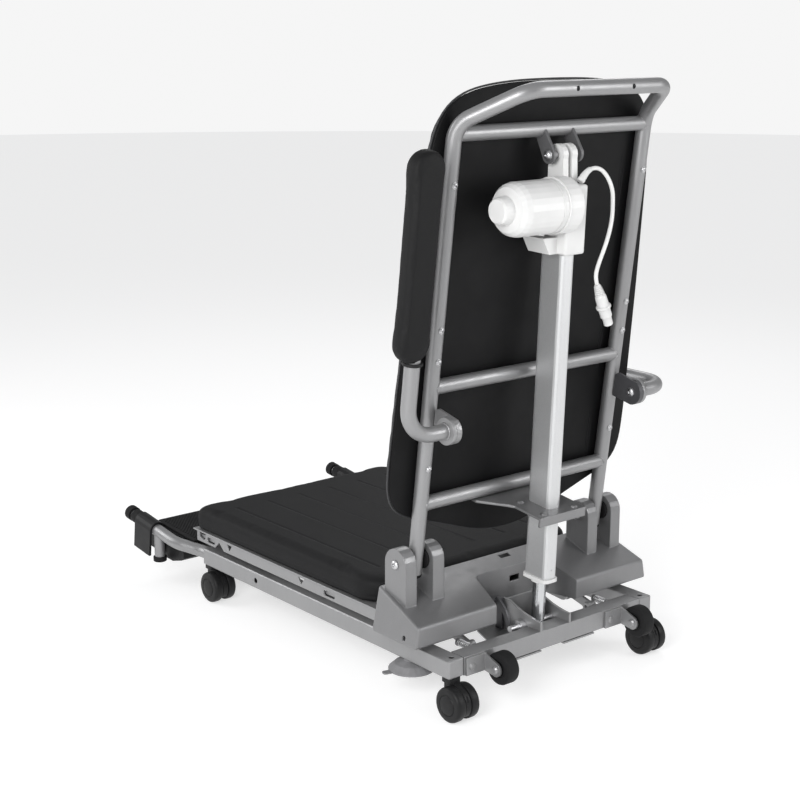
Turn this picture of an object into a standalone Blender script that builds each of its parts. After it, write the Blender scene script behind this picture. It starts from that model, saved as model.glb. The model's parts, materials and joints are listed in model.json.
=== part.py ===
"""Sit to stand lift: a wheeled base, crossed lifting arms, a low seat with a back frame, and a linear actuator.

Metres, +Z up. The user faces -Y and +X is the user's left. The floor is z = 0. Every shape below is given in the
chassis frame, whose y = 0 is the rear face of the base rails. The empty "chassis" carries that frame to REAR_Y, so
that the object stands centred on the world origin.
"""

import math

import bmesh
import bpy
from mathutils import Matrix, Vector

# Driving dimensions
REAR_Y = 0.4676          # rear face of the rails, from the centre of the object's box
GAP = 0.0003             # clearance left between pieces that touch
SHEET = 0.003            # folded sheet steel

RAIL_X = 0.2335          # centre of each side rail
RAIL_TUBE = 0.033        # square tube, outside
RAIL_WALL = 0.002
RAIL_LENGTH = 0.759
RAIL_TOP = 0.106

WHEEL_RADIUS = 0.0310    # castor wheel
WHEEL_WIDTH = 0.018
WHEEL_OFFSET = 0.0155    # centre of each twin wheel from the fork's middle
CASTOR_TRAIL = 0.0175
CASTOR_Y = {"rear": -0.0137, "front": -0.7490}

FOOT_TUBE_X = 0.2676

TRANSPORT_RADIUS = 0.0285
TRANSPORT_AXLE = (0.030, 0.081)          # y, z
TRANSPORT_ARM_X = {"left": 0.1730, "right": -0.1650}

LEAN = math.radians(2.5)                 # the actuator's lean, and that of the whole lifting movement
PIN_Y, PIN_Z = -0.0460, 0.104            # the actuator's lower pin
STROKE = 0.350

ARM_LENGTH = 0.540                       # pivot to roller
ARM_HALF_HEIGHT = 0.012
ARM_THICKNESS = 0.006
ARM_REST = math.asin(0.020 / ARM_LENGTH)
ARM_TOP = math.asin(0.020 / ARM_LENGTH + STROKE / ARM_LENGTH)
BASE_PIVOT = (-0.185, 0.066)             # y, z
OUTER_ARM_X = 0.206
INNER_ARM_X = 0.1975
SHAFT_RADIUS = 0.006
SHAFT_SPAN = {"outer_lift_arms": (-0.2160, 0.2160), "inner_lift_arms": (-0.2010, 0.2010)}

BACK_TUBE = 0.013                        # radius
BACK_X = 0.220
BACK_SLOPE = 0.1265                      # rearward run for each metre of height
BACK_PIN = (-0.1255, 0.2465)             # y, z of the bolts through the ears
CROSSBAR_Z = (0.975, 0.557, 0.349)
HANDLE_Y = 0.071

ARMREST_PIVOT = (-0.0365, 0.494)         # y, z
ARMREST_X = 0.3145
ARMREST_DROP = 90 + math.degrees(math.atan(BACK_SLOPE))

SEAT_TOP = 0.187
PAN_TOP = 0.1435


# Materials

def material(name, colour, roughness, metallic=0.0):
    made = bpy.data.materials.new(name)
    made.use_nodes = True
    shader = made.node_tree.nodes["Principled BSDF"]
    shader.inputs["Base Color"].default_value = (*colour, 1.0)
    shader.inputs["Roughness"].default_value = roughness
    shader.inputs["Metallic"].default_value = metallic
    made.diffuse_color = (*colour, 1.0)
    return made


SILVER = ("silver paint", (0.42, 0.42, 0.43), 0.38, 0.6)
DARK_STEEL = ("dark painted steel", (0.09, 0.09, 0.095), 0.5, 0.3)
ZINC = ("zinc plated steel", (0.70, 0.70, 0.72), 0.28, 1.0)
ROD_STEEL = ("ground steel rod", (0.62, 0.63, 0.64), 0.22, 1.0)
ANODISED = ("anodised aluminium", (0.60, 0.61, 0.62), 0.45, 0.9)
WHITE = ("white plastic", (0.86, 0.86, 0.85), 0.42)
BLACK_PLASTIC = ("black plastic", (0.018, 0.018, 0.02), 0.5)
BLACK_RUBBER = ("black rubber", (0.015, 0.015, 0.016), 0.75)
GREY_RUBBER = ("grey rubber", (0.16, 0.16, 0.165), 0.6)
VINYL = ("black vinyl", (0.016, 0.016, 0.018), 0.5)
BLACK_FOAM = ("black foam pad", (0.014, 0.014, 0.016), 0.6)


# Objects

def clear_scene():
    for obj in list(bpy.data.objects):
        bpy.data.objects.remove(obj)


CARRIERS = {}


def carrier(name, place, parent="chassis"):
    """An empty on a joint's axis, which carries the pieces that turn or slide there."""
    empty = bpy.data.objects.new(name, None)
    bpy.context.scene.collection.objects.link(empty)
    empty.parent = CARRIERS.get(parent)
    offset = CARRIERS[parent]["place"] if parent in CARRIERS else (0, 0, 0)
    empty.location = Vector(place) - Vector(offset)
    empty["place"] = place if parent in CARRIERS else (0, 0, 0)
    CARRIERS[name] = empty


def finished(bm, place):
    bmesh.ops.recalc_face_normals(bm, faces=bm.faces)
    bmesh.ops.translate(bm, verts=bm.verts, vec=-Vector(place))
    return bm


def piece(name, bm, look, on="chassis", smooth=30):
    """One named object from a mesh drawn in the chassis frame, parented to the carrier that it moves with."""
    place = CARRIERS[on]["place"]
    mesh = bpy.data.meshes.new(name)
    finished(bm, place).to_mesh(mesh)
    bm.free()
    mesh.materials.append(material(f"{name} {look[0]}", *look[1:]))
    mesh.shade_smooth()
    mesh.set_sharp_from_angle(angle=math.radians(smooth))
    obj = bpy.data.objects.new(name, mesh)
    bpy.context.scene.collection.objects.link(obj)
    obj.parent = CARRIERS[on]
    return obj


def boolean(obj, bm, operation="DIFFERENCE"):
    """Adds a Boolean with a hidden helper drawn in the chassis frame, and returns the helper."""
    place = obj.parent["place"]
    name = f"{obj.name} {operation.lower()} {len(obj.modifiers)}"
    mesh = bpy.data.meshes.new(name)
    finished(bm, place).to_mesh(mesh)
    bm.free()
    helper = bpy.data.objects.new(name, mesh)
    bpy.context.scene.collection.objects.link(helper)
    helper.parent = obj.parent
    helper.hide_render = True
    helper.display_type = "WIRE"
    modifier = obj.modifiers.new(operation.title(), "BOOLEAN")
    modifier.operation = operation
    modifier.object = helper
    return helper


def bevel(obj, width, segments=2, angle=40):
    modifier = obj.modifiers.new("Bevel", "BEVEL")
    modifier.width = width
    modifier.segments = segments
    modifier.limit_method = "ANGLE"
    modifier.angle_limit = math.radians(angle)
    return modifier


# Shapes, each added to the bmesh that is passed in

def add_box(bm, x, y, z):
    corners = [bm.verts.new((a, b, c)) for a in x for b in y for c in z]
    for face in ((0, 1, 3, 2), (4, 6, 7, 5), (0, 4, 5, 1), (2, 3, 7, 6), (0, 2, 6, 4), (1, 5, 7, 3)):
        bm.faces.new([corners[i] for i in face])
    return bm


def add_slab(bm, outline, low, high, frame=None):
    """Extrudes an outline, a list of (u, v), along w from low to high. The frame's columns are u, v and w."""
    frame = frame or Matrix.Identity(4)
    ends = [[bm.verts.new(frame @ Vector((u, v, w))) for u, v in outline] for w in (low, high)]
    bm.faces.new(ends[0])
    bm.faces.new(ends[1])
    count = len(outline)
    for i in range(count):
        j = (i + 1) % count
        bm.faces.new((ends[0][i], ends[0][j], ends[1][j], ends[1][i]))
    return bm


def axes(origin, u, v, w):
    matrix = Matrix((u, v, w)).transposed().to_4x4()
    matrix.translation = origin
    return matrix


SIDE_VIEW = axes((0, 0, 0), (0, 1, 0), (0, 0, 1), (1, 0, 0))       # outlines in (y, z), extruded along x
PLAN_VIEW = axes((0, 0, 0), (1, 0, 0), (0, 1, 0), (0, 0, 1))       # outlines in (x, y), extruded along z
REAR_VIEW = axes((0, 0, 0), (1, 0, 0), (0, 0, 1), (0, 1, 0))       # outlines in (x, z), extruded along y


def along(origin, direction):
    """A frame at origin whose w axis runs along direction."""
    w = Vector(direction).normalized()
    helper = Vector((1, 0, 0)) if abs(w.x) < 0.9 else Vector((0, 0, 1))
    v = w.cross(helper).normalized()
    return axes(origin, v.cross(w), v, w)


def add_turned(bm, profile, frame, sides=20):
    """Turns a profile, a list of (radius, height), about the frame's w axis. It is closed at both ends."""
    rings = []
    for radius, height in profile:
        if radius == 0:
            rings.append([bm.verts.new(frame @ Vector((0, 0, height)))])
            continue
        turns = [2 * math.pi * i / sides for i in range(sides)]
        rings.append([bm.verts.new(frame @ Vector((radius * math.cos(t), radius * math.sin(t), height)))
                      for t in turns])
    open_ring = profile[0][0] > 0
    pairs = list(zip(rings, rings[1:])) + ([(rings[-1], rings[0])] if open_ring else [])
    for one, two in pairs:
        for i in range(sides):
            j = (i + 1) % sides
            corners = [one[i % len(one)], one[j % len(one)], two[j % len(two)], two[i % len(two)]]
            bm.faces.new(list(dict.fromkeys(corners)))
    return bm


def add_cylinder(bm, start, end, radius, sides=16):
    length = (Vector(end) - Vector(start)).length
    profile = [(0, 0), (radius, 0), (radius, length), (0, length)]
    return add_turned(bm, profile, along(start, Vector(end) - Vector(start)), sides)


def add_cross_pin(bm, y, z, x, radius, sides=12):
    return add_cylinder(bm, (x[0], y, z), (x[1], y, z), radius, sides)


def arc(centre, radius, start, end, steps):
    angles = [math.radians(start + (end - start) * i / steps) for i in range(steps + 1)]
    return [(centre[0] + radius * math.cos(a), centre[1] + radius * math.sin(a)) for a in angles]


def rounded_rectangle(half_u, half_v, radius, steps=3, centre=(0, 0)):
    points = []
    for u, v, start in ((1, 1, 0), (-1, 1, 90), (-1, -1, 180), (1, -1, 270)):
        corner = (centre[0] + u * (half_u - radius), centre[1] + v * (half_v - radius))
        points += arc(corner, radius, start, start + 90, steps)
    return points


def mirrored_outline(points):
    """Closes a half outline, given from +u to the middle, with its mirror image."""
    return points + [(-u, v) for u, v in reversed(points)]


def bent(corners, radius, steps=5):
    """The points of a tube's centre line: straight runs joined by arcs of the bend radius."""
    corners = [Vector(c) for c in corners]
    points = [corners[0]]
    for before, corner, after in zip(corners, corners[1:], corners[2:]):
        into = (corner - before).normalized()
        out = (after - corner).normalized()
        turn = into.angle(out)
        setback = radius * math.tan(turn / 2)
        centre = corner + (out - into).normalized() * (radius / math.cos(turn / 2))
        first = corner - into * setback - centre
        axis = into.cross(out).normalized()
        points += [centre + Matrix.Rotation(turn * i / steps, 3, axis) @ first for i in range(steps + 1)]
    return points + [corners[-1]]


def add_tube(bm, path, radius, sides=12):
    """A solid round bar along a path, with flat ends."""
    path = [Vector(p) for p in path]
    steps = [(b - a).normalized() for a, b in zip(path, path[1:])]
    side = along((0, 0, 0), steps[0]).to_3x3().col[0]
    rings = []
    for i, point in enumerate(path):
        tangent = (steps[max(i - 1, 0)] + steps[min(i, len(steps) - 1)]).normalized()
        side = (side - tangent * side.dot(tangent)).normalized()
        up = tangent.cross(side)
        ring = []
        for k in range(sides):
            angle = 2 * math.pi * k / sides
            ring.append(bm.verts.new(point + radius * (math.cos(angle) * side + math.sin(angle) * up)))
        rings.append(ring)
    for one, two in zip(rings, rings[1:]):
        for i in range(sides):
            j = (i + 1) % sides
            bm.faces.new((one[i], one[j], two[j], two[i]))
    bm.faces.new(rings[0])
    bm.faces.new(rings[-1])
    return bm


def new():
    return bmesh.new()


def both_sides():
    return (("left", 1), ("right", -1))


def span(side, low, high):
    """The x limits of something between low and high on the left, or their mirror image on the right."""
    return tuple(sorted((side * low, side * high)))


# Rules of the design

def back_y(z):
    """The centre of the back frame's side tubes at height z."""
    return -0.042 + (z - 0.896) * BACK_SLOPE


def actuator_point(height, forward=0.0):
    """A point of the actuator's axis, at a distance along it from the lower pin."""
    y = PIN_Y + height * math.sin(LEAN) - forward * math.cos(LEAN)
    return Vector((0, y, PIN_Z + height * math.cos(LEAN) + forward * math.sin(LEAN)))


ACTUATOR_FRAME = axes(actuator_point(0), (1, 0, 0), (0, math.cos(LEAN), -math.sin(LEAN)),
                      (0, math.sin(LEAN), math.cos(LEAN)))


def arm_point(pivot, distance, angle):
    """A point of a lifting arm in (y, z), at a distance from its rear pivot."""
    return (pivot[0] - distance * math.cos(angle), pivot[1] + distance * math.sin(angle))


def seat_pivot():
    rise = ARM_LENGTH * math.sin(ARM_REST)
    return (BASE_PIVOT[0] + rise * math.sin(LEAN), BASE_PIVOT[1] + rise * math.cos(LEAN))


OUTER_ANGLE = ARM_REST + LEAN            # from the horizontal, rising to the front
INNER_ANGLE = -(ARM_REST - LEAN)


def stadium(start, end, radius, steps=5):
    """The outline around two points, with round ends."""
    angle = math.degrees(math.atan2(end[1] - start[1], end[0] - start[0]))
    return arc(end, radius, angle - 90, angle + 90, steps) + arc(start, radius, angle + 90, angle + 270, steps)


# The base

def rails():
    """The side rails, each with the lug and stud that the outer lifting arm turns on."""
    for name, side in both_sides():
        bottom = RAIL_TOP - RAIL_TUBE
        half = RAIL_TUBE / 2
        centre = side * RAIL_X
        bm = add_box(new(), (centre - half, centre + half), (-RAIL_LENGTH, 0), (bottom, RAIL_TOP))
        rail = piece(f"rail_{name}", bm, SILVER)
        bevel(rail, 0.002, 1)
        inner = half - RAIL_WALL
        boolean(rail, add_box(new(), (centre - inner, centre + inner), (-RAIL_LENGTH - 0.01, -RAIL_WALL),
                              (bottom + RAIL_WALL, RAIL_TOP - RAIL_WALL)))
        holes = add_cylinder(new(), (centre, CASTOR_Y["rear"], RAIL_TOP - 0.01),
                             (centre, CASTOR_Y["rear"], RAIL_TOP + 0.01), 0.0050, 16)
        add_cross_pin(holes, -0.571, 0.0895, span(side, RAIL_X + 0.006, RAIL_X + 0.03), 0.0055, 16)
        boolean(rail, holes)
        y, z = BASE_PIVOT
        outline = [(y + 0.020, RAIL_TOP - 0.003), (y - 0.020, RAIL_TOP - 0.003), (y - 0.020, z)]
        outline += arc((y, z), 0.013, 200, 340, 6) + [(y + 0.020, z)]
        boolean(rail, add_slab(new(), outline, *span(side, 0.2118, 0.2180), SIDE_VIEW), "UNION")
        boolean(rail, add_cross_pin(new(), y, z, span(side, 0.2022, 0.2140), SHAFT_RADIUS), "UNION")


def crossbeams():
    inner = RAIL_X - RAIL_TUBE / 2 - GAP
    bottom = RAIL_TOP - RAIL_TUBE
    rear = piece("rear_crossbeam", add_box(new(), (-inner, inner), (-RAIL_TUBE, 0), (bottom, RAIL_TOP)), SILVER)
    boolean(rear, add_box(new(), (-inner - 0.01, inner + 0.01), (-RAIL_TUBE + RAIL_WALL, -RAIL_WALL),
                          (bottom + RAIL_WALL, RAIL_TOP - RAIL_WALL)))
    for x in ((0.033, 0.103), (-0.100, -0.023)):
        boolean(rear, add_box(new(), x, (-0.024, -0.001), (bottom - 0.0055, bottom - 0.0025)), "UNION")
        boolean(rear, add_box(new(), (x[0] + 0.004, x[1] - 0.004), (-0.020, -0.006), (bottom - 0.004, bottom + 0.001)),
                "UNION")
    front = piece("front_crossbeam", add_box(new(), (-inner, inner), (-RAIL_LENGTH + 0.0005, -RAIL_LENGTH + 0.0195),
                                             (bottom, RAIL_TOP)), SILVER)
    boolean(front, add_box(new(), (-inner - 0.01, inner + 0.01), (-RAIL_LENGTH + 0.0025, -RAIL_LENGTH + 0.0175),
                           (bottom + RAIL_WALL, RAIL_TOP - RAIL_WALL)))
    tracks = new()
    slots = new()
    for _, side in both_sides():
        add_box(tracks, span(side, 0.1862, 0.1908), (-RAIL_LENGTH + 0.0185, -0.568), (bottom + 0.0005, 0.1020))
        add_slab(slots, slot_outline(BASE_PIVOT, SHAFT_RADIUS + 0.0007), *span(side, 0.180, 0.196), SIDE_VIEW)
    boolean(front, tracks, "UNION")
    boolean(front, slots)


def slot_outline(pivot, radius):
    """The slot that a roller runs in, in (y, z) from the pivot that stays above or below it."""
    ends = []
    for angle in (ARM_REST, ARM_TOP):
        reach = ARM_LENGTH * math.cos(angle)
        ends.append((pivot[0] - reach * math.cos(LEAN), pivot[1] + reach * math.sin(LEAN)))
    return stadium(ends[1], ends[0], radius)


def actuator_clevis():
    """Two ribs on a floor plate ahead of the rear crossbeam, which hold the actuator's lower pin."""
    top = RAIL_TOP - RAIL_TUBE + 0.011
    bm = add_slab(new(), [(0.112, -0.0335), (-0.092, -0.0335), (-0.080, -0.118), (0.080, -0.118)], top - 0.003, top,
                  PLAN_VIEW)
    clevis = piece("actuator_clevis", bm, SILVER)
    rib = [(0, RAIL_TOP + GAP), (0, 0.1225), (-0.014, 0.1235), (-0.028, 0.1255), (-0.045, 0.1290), (-0.061, 0.1340),
           (-0.080, 0.1420), (-0.098, 0.1420), (-0.112, top - 0.001), (-0.034, top - 0.001), (-0.034, RAIL_TOP + GAP)]
    ribs = new()
    for _, side in both_sides():
        add_slab(ribs, rib, *span(side, 0.0330, 0.0380), SIDE_VIEW)
    boolean(clevis, ribs, "UNION")
    boolean(clevis, add_box(new(), (-0.034, 0.034), (-0.096, -0.092), (top - 0.001, 0.140)), "UNION")
    holes = add_cross_pin(new(), PIN_Y, PIN_Z, (-0.05, 0.05), SHAFT_RADIUS + GAP)
    add_cylinder(holes, (0.012, -0.08, 0.116), (0.012, -0.11, 0.116), 0.003, 12)
    boolean(clevis, holes)


def lower_pin():
    """The pin through the rod's eye, with a washer stack on each side of the clevis."""
    r = SHAFT_RADIUS
    profile = [(0, -0.052), (r, -0.052), (r, -0.0500), (0.0125, -0.0500), (0.0125, -0.0384), (r, -0.0384), (r, 0.0384),
               (0.0125, 0.0384), (0.0125, 0.0500), (r, 0.0500), (r, 0.0680), (0, 0.0680)]
    piece("lower_pin", add_turned(new(), profile, along((0, PIN_Y, PIN_Z), (1, 0, 0)), 16), ZINC)


def latch_lever():
    """The dark hooked lever beside the clevis, and the cross plate that it hangs from."""
    outer = arc((-0.118, 0.094), 0.062, 66, 8, 6)
    inner = arc((-0.118, 0.094), 0.052, 8, 66, 6)
    lever = piece("latch_lever", add_slab(new(), outer + inner, 0.0540, 0.0585, SIDE_VIEW), DARK_STEEL)
    boolean(lever, add_box(new(), (0.0400, 0.0860), (-0.108, -0.0915), (0.1390, 0.1440)), "UNION")
    boolean(lever, add_box(new(), (0.0400, 0.0450), (-0.108, -0.0915), (0.0845, 0.1420)), "UNION")


def assist_levers():
    """On each side a short lever with a hollow boss, between the rail and the clevis."""
    for name, side in both_sides():
        outline = stadium((-0.062, 0.0915), (-0.165, 0.1175), 0.0085)
        lever = piece(f"assist_lever_{name}", add_slab(new(), outline, *span(side, 0.1480, 0.1530), SIDE_VIEW), SILVER)
        boolean(lever, add_cross_pin(new(), -0.062, 0.0915, span(side, 0.1400, 0.1600), 0.0080), "UNION")
        boolean(lever, add_cross_pin(new(), -0.062, 0.0915, span(side, 0.1300, 0.1700), 0.0035, 8))


def transport_wheels():
    """Two small fixed wheels behind the base, on brackets that are alike and not mirrored."""
    y, z = TRANSPORT_AXLE
    for name, side in both_sides():
        arm = TRANSPORT_ARM_X[name]
        plate = add_box(new(), (arm - 0.004, arm + 0.041), (GAP, 0.0043), (0.0725, 0.1035))
        bracket = piece(f"transport_bracket_{name}", plate, SILVER)
        outline = [(0.0010, 0.1035), (0.0010, 0.0725), (y - 0.006, z - 0.0115)]
        outline += arc((y, z), 0.0125, -120, 75, 8) + [(y - 0.012, 0.0980)]
        boolean(bracket, add_slab(new(), outline, arm - 0.004, arm, SIDE_VIEW), "UNION")
        head = [(0, 0.0040), (0.0045, 0.0040), (0.0075, 0.0012), (0.0075, -0.0005), (0.0040, -0.0005), (0.0040, -0.034),
                (0, -0.034)]
        boolean(bracket, add_turned(new(), head, along((arm, y, z), (1, 0, 0)), 12), "UNION")
        head = [(0, 0.0035), (0.0040, 0.0035), (0.0065, 0.0010), (0.0065, -0.0005), (0, -0.0005)]
        boolean(bracket, add_turned(new(), head, along((arm + 0.029, 0.0043, 0.0870), (0, 1, 0)), 12), "UNION")
        wheel_x = arm - 0.0185
        carrier(f"{name}_transport_axle", (wheel_x, y, z))
        profile = [(0.0045, -0.0125), (0.0255, -0.0125), (TRANSPORT_RADIUS, -0.0095), (TRANSPORT_RADIUS, 0.0095),
                   (0.0255, 0.0125), (0.0045, 0.0125)]
        bm = add_turned(new(), profile, along((wheel_x, y, z), (1, 0, 0)), 20)
        piece(f"transport_wheel_{name}", bm, BLACK_RUBBER, f"{name}_transport_axle")


def suction_foot():
    """A soft domed foot with a pull tab, screwed under the left rail."""
    centre = (RAIL_X, -0.118)
    profile = [(0, 0.0724), (0.0125, 0.0724), (0.0140, 0.0695), (0.030, 0.0645), (0.0405, 0.0550), (0.0410, 0.0525),
               (0.030, 0.0580), (0, 0.0625)]
    foot = piece("suction_foot", add_turned(new(), profile, axes((*centre, 0), (1, 0, 0), (0, 1, 0), (0, 0, 1)), 24),
                 GREY_RUBBER)
    tab = rounded_rectangle(0.006, 0.009, 0.004, 3, (0, 0.0460))
    turn = Matrix.Translation((*centre, 0)) @ Matrix.Rotation(math.radians(-104), 4, "Z")
    boolean(foot, add_slab(new(), tab, 0.0518, 0.0545, turn), "UNION")


def castors():
    for row, y in CASTOR_Y.items():
        for name, side in both_sides():
            place = f"{row}_{name}"
            x = side * RAIL_X
            swivel = f"{place}_swivel"
            carrier(swivel, (x, y, WHEEL_RADIUS))
            castor_fork(place, x, y, swivel)
            carrier(f"{place}_axle", (x, y + CASTOR_TRAIL, WHEEL_RADIUS), swivel)
            castor_wheels(place, x, y + CASTOR_TRAIL, f"{place}_axle")


def castor_fork(place, x, y, on):
    """A hood over the twin wheels, a web between them, and a swivel neck."""
    axle = (y + CASTOR_TRAIL, WHEEL_RADIUS)
    web = [(y - 0.009, 0.0660), (y - 0.009, 0.0520), (axle[0] - 0.014, 0.0300)]
    web += arc(axle, 0.0130, 200, 400, 5) + [(axle[0] + 0.016, 0.0640)]
    fork = piece(f"castor_fork_{place}", add_slab(new(), web, x - 0.0055, x + 0.0055, SIDE_VIEW), BLACK_PLASTIC, on)
    outer = arc(axle, 0.0345, 30, 150, 7)
    inner = arc(axle, 0.0320, 150, 30, 7)
    boolean(fork, add_slab(new(), outer + inner, x - 0.0240, x + 0.0240, SIDE_VIEW), "UNION")
    bottom = RAIL_TOP - RAIL_TUBE
    boolean(fork, add_cylinder(new(), (x, y, 0.0600), (x, y, bottom - GAP), 0.0095, 12), "UNION")
    boolean(fork, add_cross_pin(new(), *axle, (x - 0.01, x + 0.01), 0.0040 + GAP))


def castor_wheels(place, x, y, on):
    """Twin wheels on one axle."""
    half = WHEEL_WIDTH / 2
    inner = WHEEL_OFFSET - half
    outer = WHEEL_OFFSET + half
    r = WHEEL_RADIUS
    right = [(0.0040, inner), (r - 0.003, inner), (r, inner + 0.003), (r, outer - 0.003), (r - 0.003, outer),
             (0.0160, outer + 0.0015), (0, outer + 0.0015)]
    left = [(radius, -height) for radius, height in reversed(right)]
    bm = add_turned(new(), left + right, along((x, y, r), (1, 0, 0)), 18)
    piece(f"castor_wheels_{place}", bm, BLACK_PLASTIC, on)


def footrest():
    """The bent tubes ahead of the rails, their rubber ends, and the footboard hooked between them."""
    for name, side in both_sides():
        rail = side * RAIL_X
        out = side * FOOT_TUBE_X
        corners = [(rail, -0.690, 0.0895), (rail, -0.785, 0.0895), (out, -0.835, 0.1015), (out, -0.995, 0.1225)]
        path = bent(corners, 0.060, 4)
        tube = piece(f"foot_tube_{name}", add_tube(new(), path, 0.0125), SILVER)
        boolean(tube, add_cylinder(new(), (out, -0.9000, 0.0470), (out, -0.9000, 0.1080), 0.0110, 12), "UNION")
        ahead = (Vector(path[-1]) - Vector(path[-2])).normalized()
        knob = [(0, 0), (0.0120, 0), (0.0120, 0.003), (0.0155, 0.003), (0.0155, 0.019), (0.0130, 0.022), (0, 0.0225)]
        piece(f"foot_tube_knob_{name}", add_turned(new(), knob, along(Vector(path[-1]) + ahead * GAP, ahead), 16),
              BLACK_RUBBER)
        hook = arc((0, 0), 0.0178, 0, 180, 8) + [(-0.0178, -0.056), (-0.0129, -0.056)]
        hook += arc((0, 0), 0.0129, 180, 0, 8) + [(0.0129, -0.056), (0.0178, -0.056)]
        above = Vector((1, 0, 0)).cross(ahead) * -1
        place = axes((out, -0.9380, 0.1150), (1, 0, 0), above, ahead)
        piece(f"footboard_hook_{name}", add_slab(new(), hook, -0.031, 0.031, place), BLACK_PLASTIC)
    footboard(FOOT_TUBE_X - 0.0184)


def footboard(width):
    outline = [(-0.950, 0.1150), (-0.950, 0.0950), (-0.940, 0.0640), (-0.915, 0.0480), (-0.880, 0.0460), (-0.845, 0.0560),
               (-0.812, 0.0780), (-0.800, 0.0930), (-0.800, 0.1060)]
    inside = [(-0.946, 0.1110), (-0.946, 0.0960), (-0.936, 0.0670), (-0.915, 0.0520), (-0.880, 0.0500), (-0.847, 0.0600),
              (-0.815, 0.0815), (-0.804, 0.0945), (-0.804, 0.1020)]
    board = piece("footboard", add_slab(new(), outline, -width, width, SIDE_VIEW), BLACK_PLASTIC)
    narrow = 0.2160
    corners = new()
    for _, side in both_sides():
        add_box(corners, span(side, narrow, 0.270), (-0.836, -0.790), (0.040, 0.130))
    boolean(board, corners)
    boolean(board, add_slab(new(), inside, -narrow + 0.004, narrow - 0.004, SIDE_VIEW))
    boolean(board, add_box(new(), (-0.20, 0.20), (-0.900, -0.870), (0.030, 0.060)))
    tilt = math.atan((0.1150 - 0.1060) / 0.150)
    top = axes((0, -0.950, 0.1150), (1, 0, 0), (0, math.cos(tilt), -math.sin(tilt)), (0, math.sin(tilt), math.cos(tilt)))
    mat = rounded_rectangle(width - 0.004, 0.0715, 0.008, 3, (0, 0.0755))
    piece("tread_mat", add_slab(new(), mat, GAP, 0.0040, top), BLACK_RUBBER)


# The crossed lifting arms

def lifting_arms():
    """Two pairs of arms crossed in the middle. A roller shaft joins the front ends of each pair."""
    base = BASE_PIVOT
    seat = seat_pivot()
    middle = arm_point(base, ARM_LENGTH / 2, OUTER_ANGLE)
    outer_end = arm_point(base, ARM_LENGTH, OUTER_ANGLE)
    inner_end = arm_point(seat, ARM_LENGTH, INNER_ANGLE)
    carrier("outer_arm_pivot", (0, *base))
    carrier("centre_pivot", (0, *middle), "outer_arm_pivot")
    half = ARM_THICKNESS / 2
    arms = {"outer_lift_arms": (base, outer_end, OUTER_ARM_X, "outer_arm_pivot"),
            "inner_lift_arms": (seat, inner_end, INNER_ARM_X, "centre_pivot")}
    for name, (rear, front, x, on) in arms.items():
        bars = new()
        holes = new()
        for _, side in both_sides():
            add_slab(bars, stadium(front, rear, ARM_HALF_HEIGHT), *span(side, x - half, x + half), SIDE_VIEW)
            add_cross_pin(holes, *rear, span(side, x - 0.006, x + 0.006), SHAFT_RADIUS + GAP)
            if on == "centre_pivot":
                add_cross_pin(holes, *middle, span(side, x - 0.006, x + 0.006), SHAFT_RADIUS + GAP)
        arm = piece(name, bars, SILVER, on)
        boolean(arm, add_cross_pin(new(), *front, SHAFT_SPAN[name], SHAFT_RADIUS), "UNION")
        boolean(arm, holes)
        if on == "outer_arm_pivot":
            for _, side in both_sides():
                pin = add_cross_pin(new(), *middle, span(side, INNER_ARM_X - 0.005, OUTER_ARM_X + 0.005), SHAFT_RADIUS)
                boolean(arm, pin, "UNION")


# The seat

BAND_CUTS = (
    [(-0.772, 0.1390), (-0.772, 0.1290), (-0.758, 0.1240), (-0.750, 0.1290), (-0.750, 0.1390)],
    [(-0.700, 0.1330), (-0.716, 0.1190), (-0.684, 0.1190)],
    [(-0.672, 0.1370), (-0.655, 0.1370), (-0.664, 0.1240)],
    [(-0.432, 0.1370), (-0.412, 0.1370), (-0.422, 0.1240)],
)
BAND_SLOTS = ((-0.744, -0.716), (-0.352, -0.318))


def seat_frame():
    """The sheet steel tray under the cushion: a flat pan with a folded band along each side, and its guides."""
    outline = mirrored_outline([(0.2525, -0.789), (0.2525, -0.176), (0.2450, -0.078), (0.118, -0.078), (0.098, -0.131)])
    pan = piece("seat_frame", add_slab(new(), outline, PAN_TOP - SHEET, PAN_TOP, PLAN_VIEW), SILVER, "seat_pivot")
    bands = new()
    for _, side in both_sides():
        add_box(bands, span(side, 0.2455, 0.2485), (-0.7815, -0.170), (0.1185, PAN_TOP - 0.001))
    boolean(pan, bands, "UNION")
    boolean(pan, add_box(new(), (-0.2470, 0.2470), (-0.783, -0.780), (0.1190, PAN_TOP - 0.0012)), "UNION")
    cuts = new()
    for _, side in both_sides():
        x = span(side, 0.2400, 0.2550)
        for points in BAND_CUTS:
            add_slab(cuts, [(y, z - 0.0005) for y, z in points], *x, SIDE_VIEW)
        for front, rear in BAND_SLOTS:
            centre = ((front + rear) / 2, 0.1285)
            add_slab(cuts, rounded_rectangle((rear - front) / 2, 0.0055, 0.005, 3, centre), *x, SIDE_VIEW)
    boolean(pan, cuts)
    seat_guides(pan)


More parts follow.
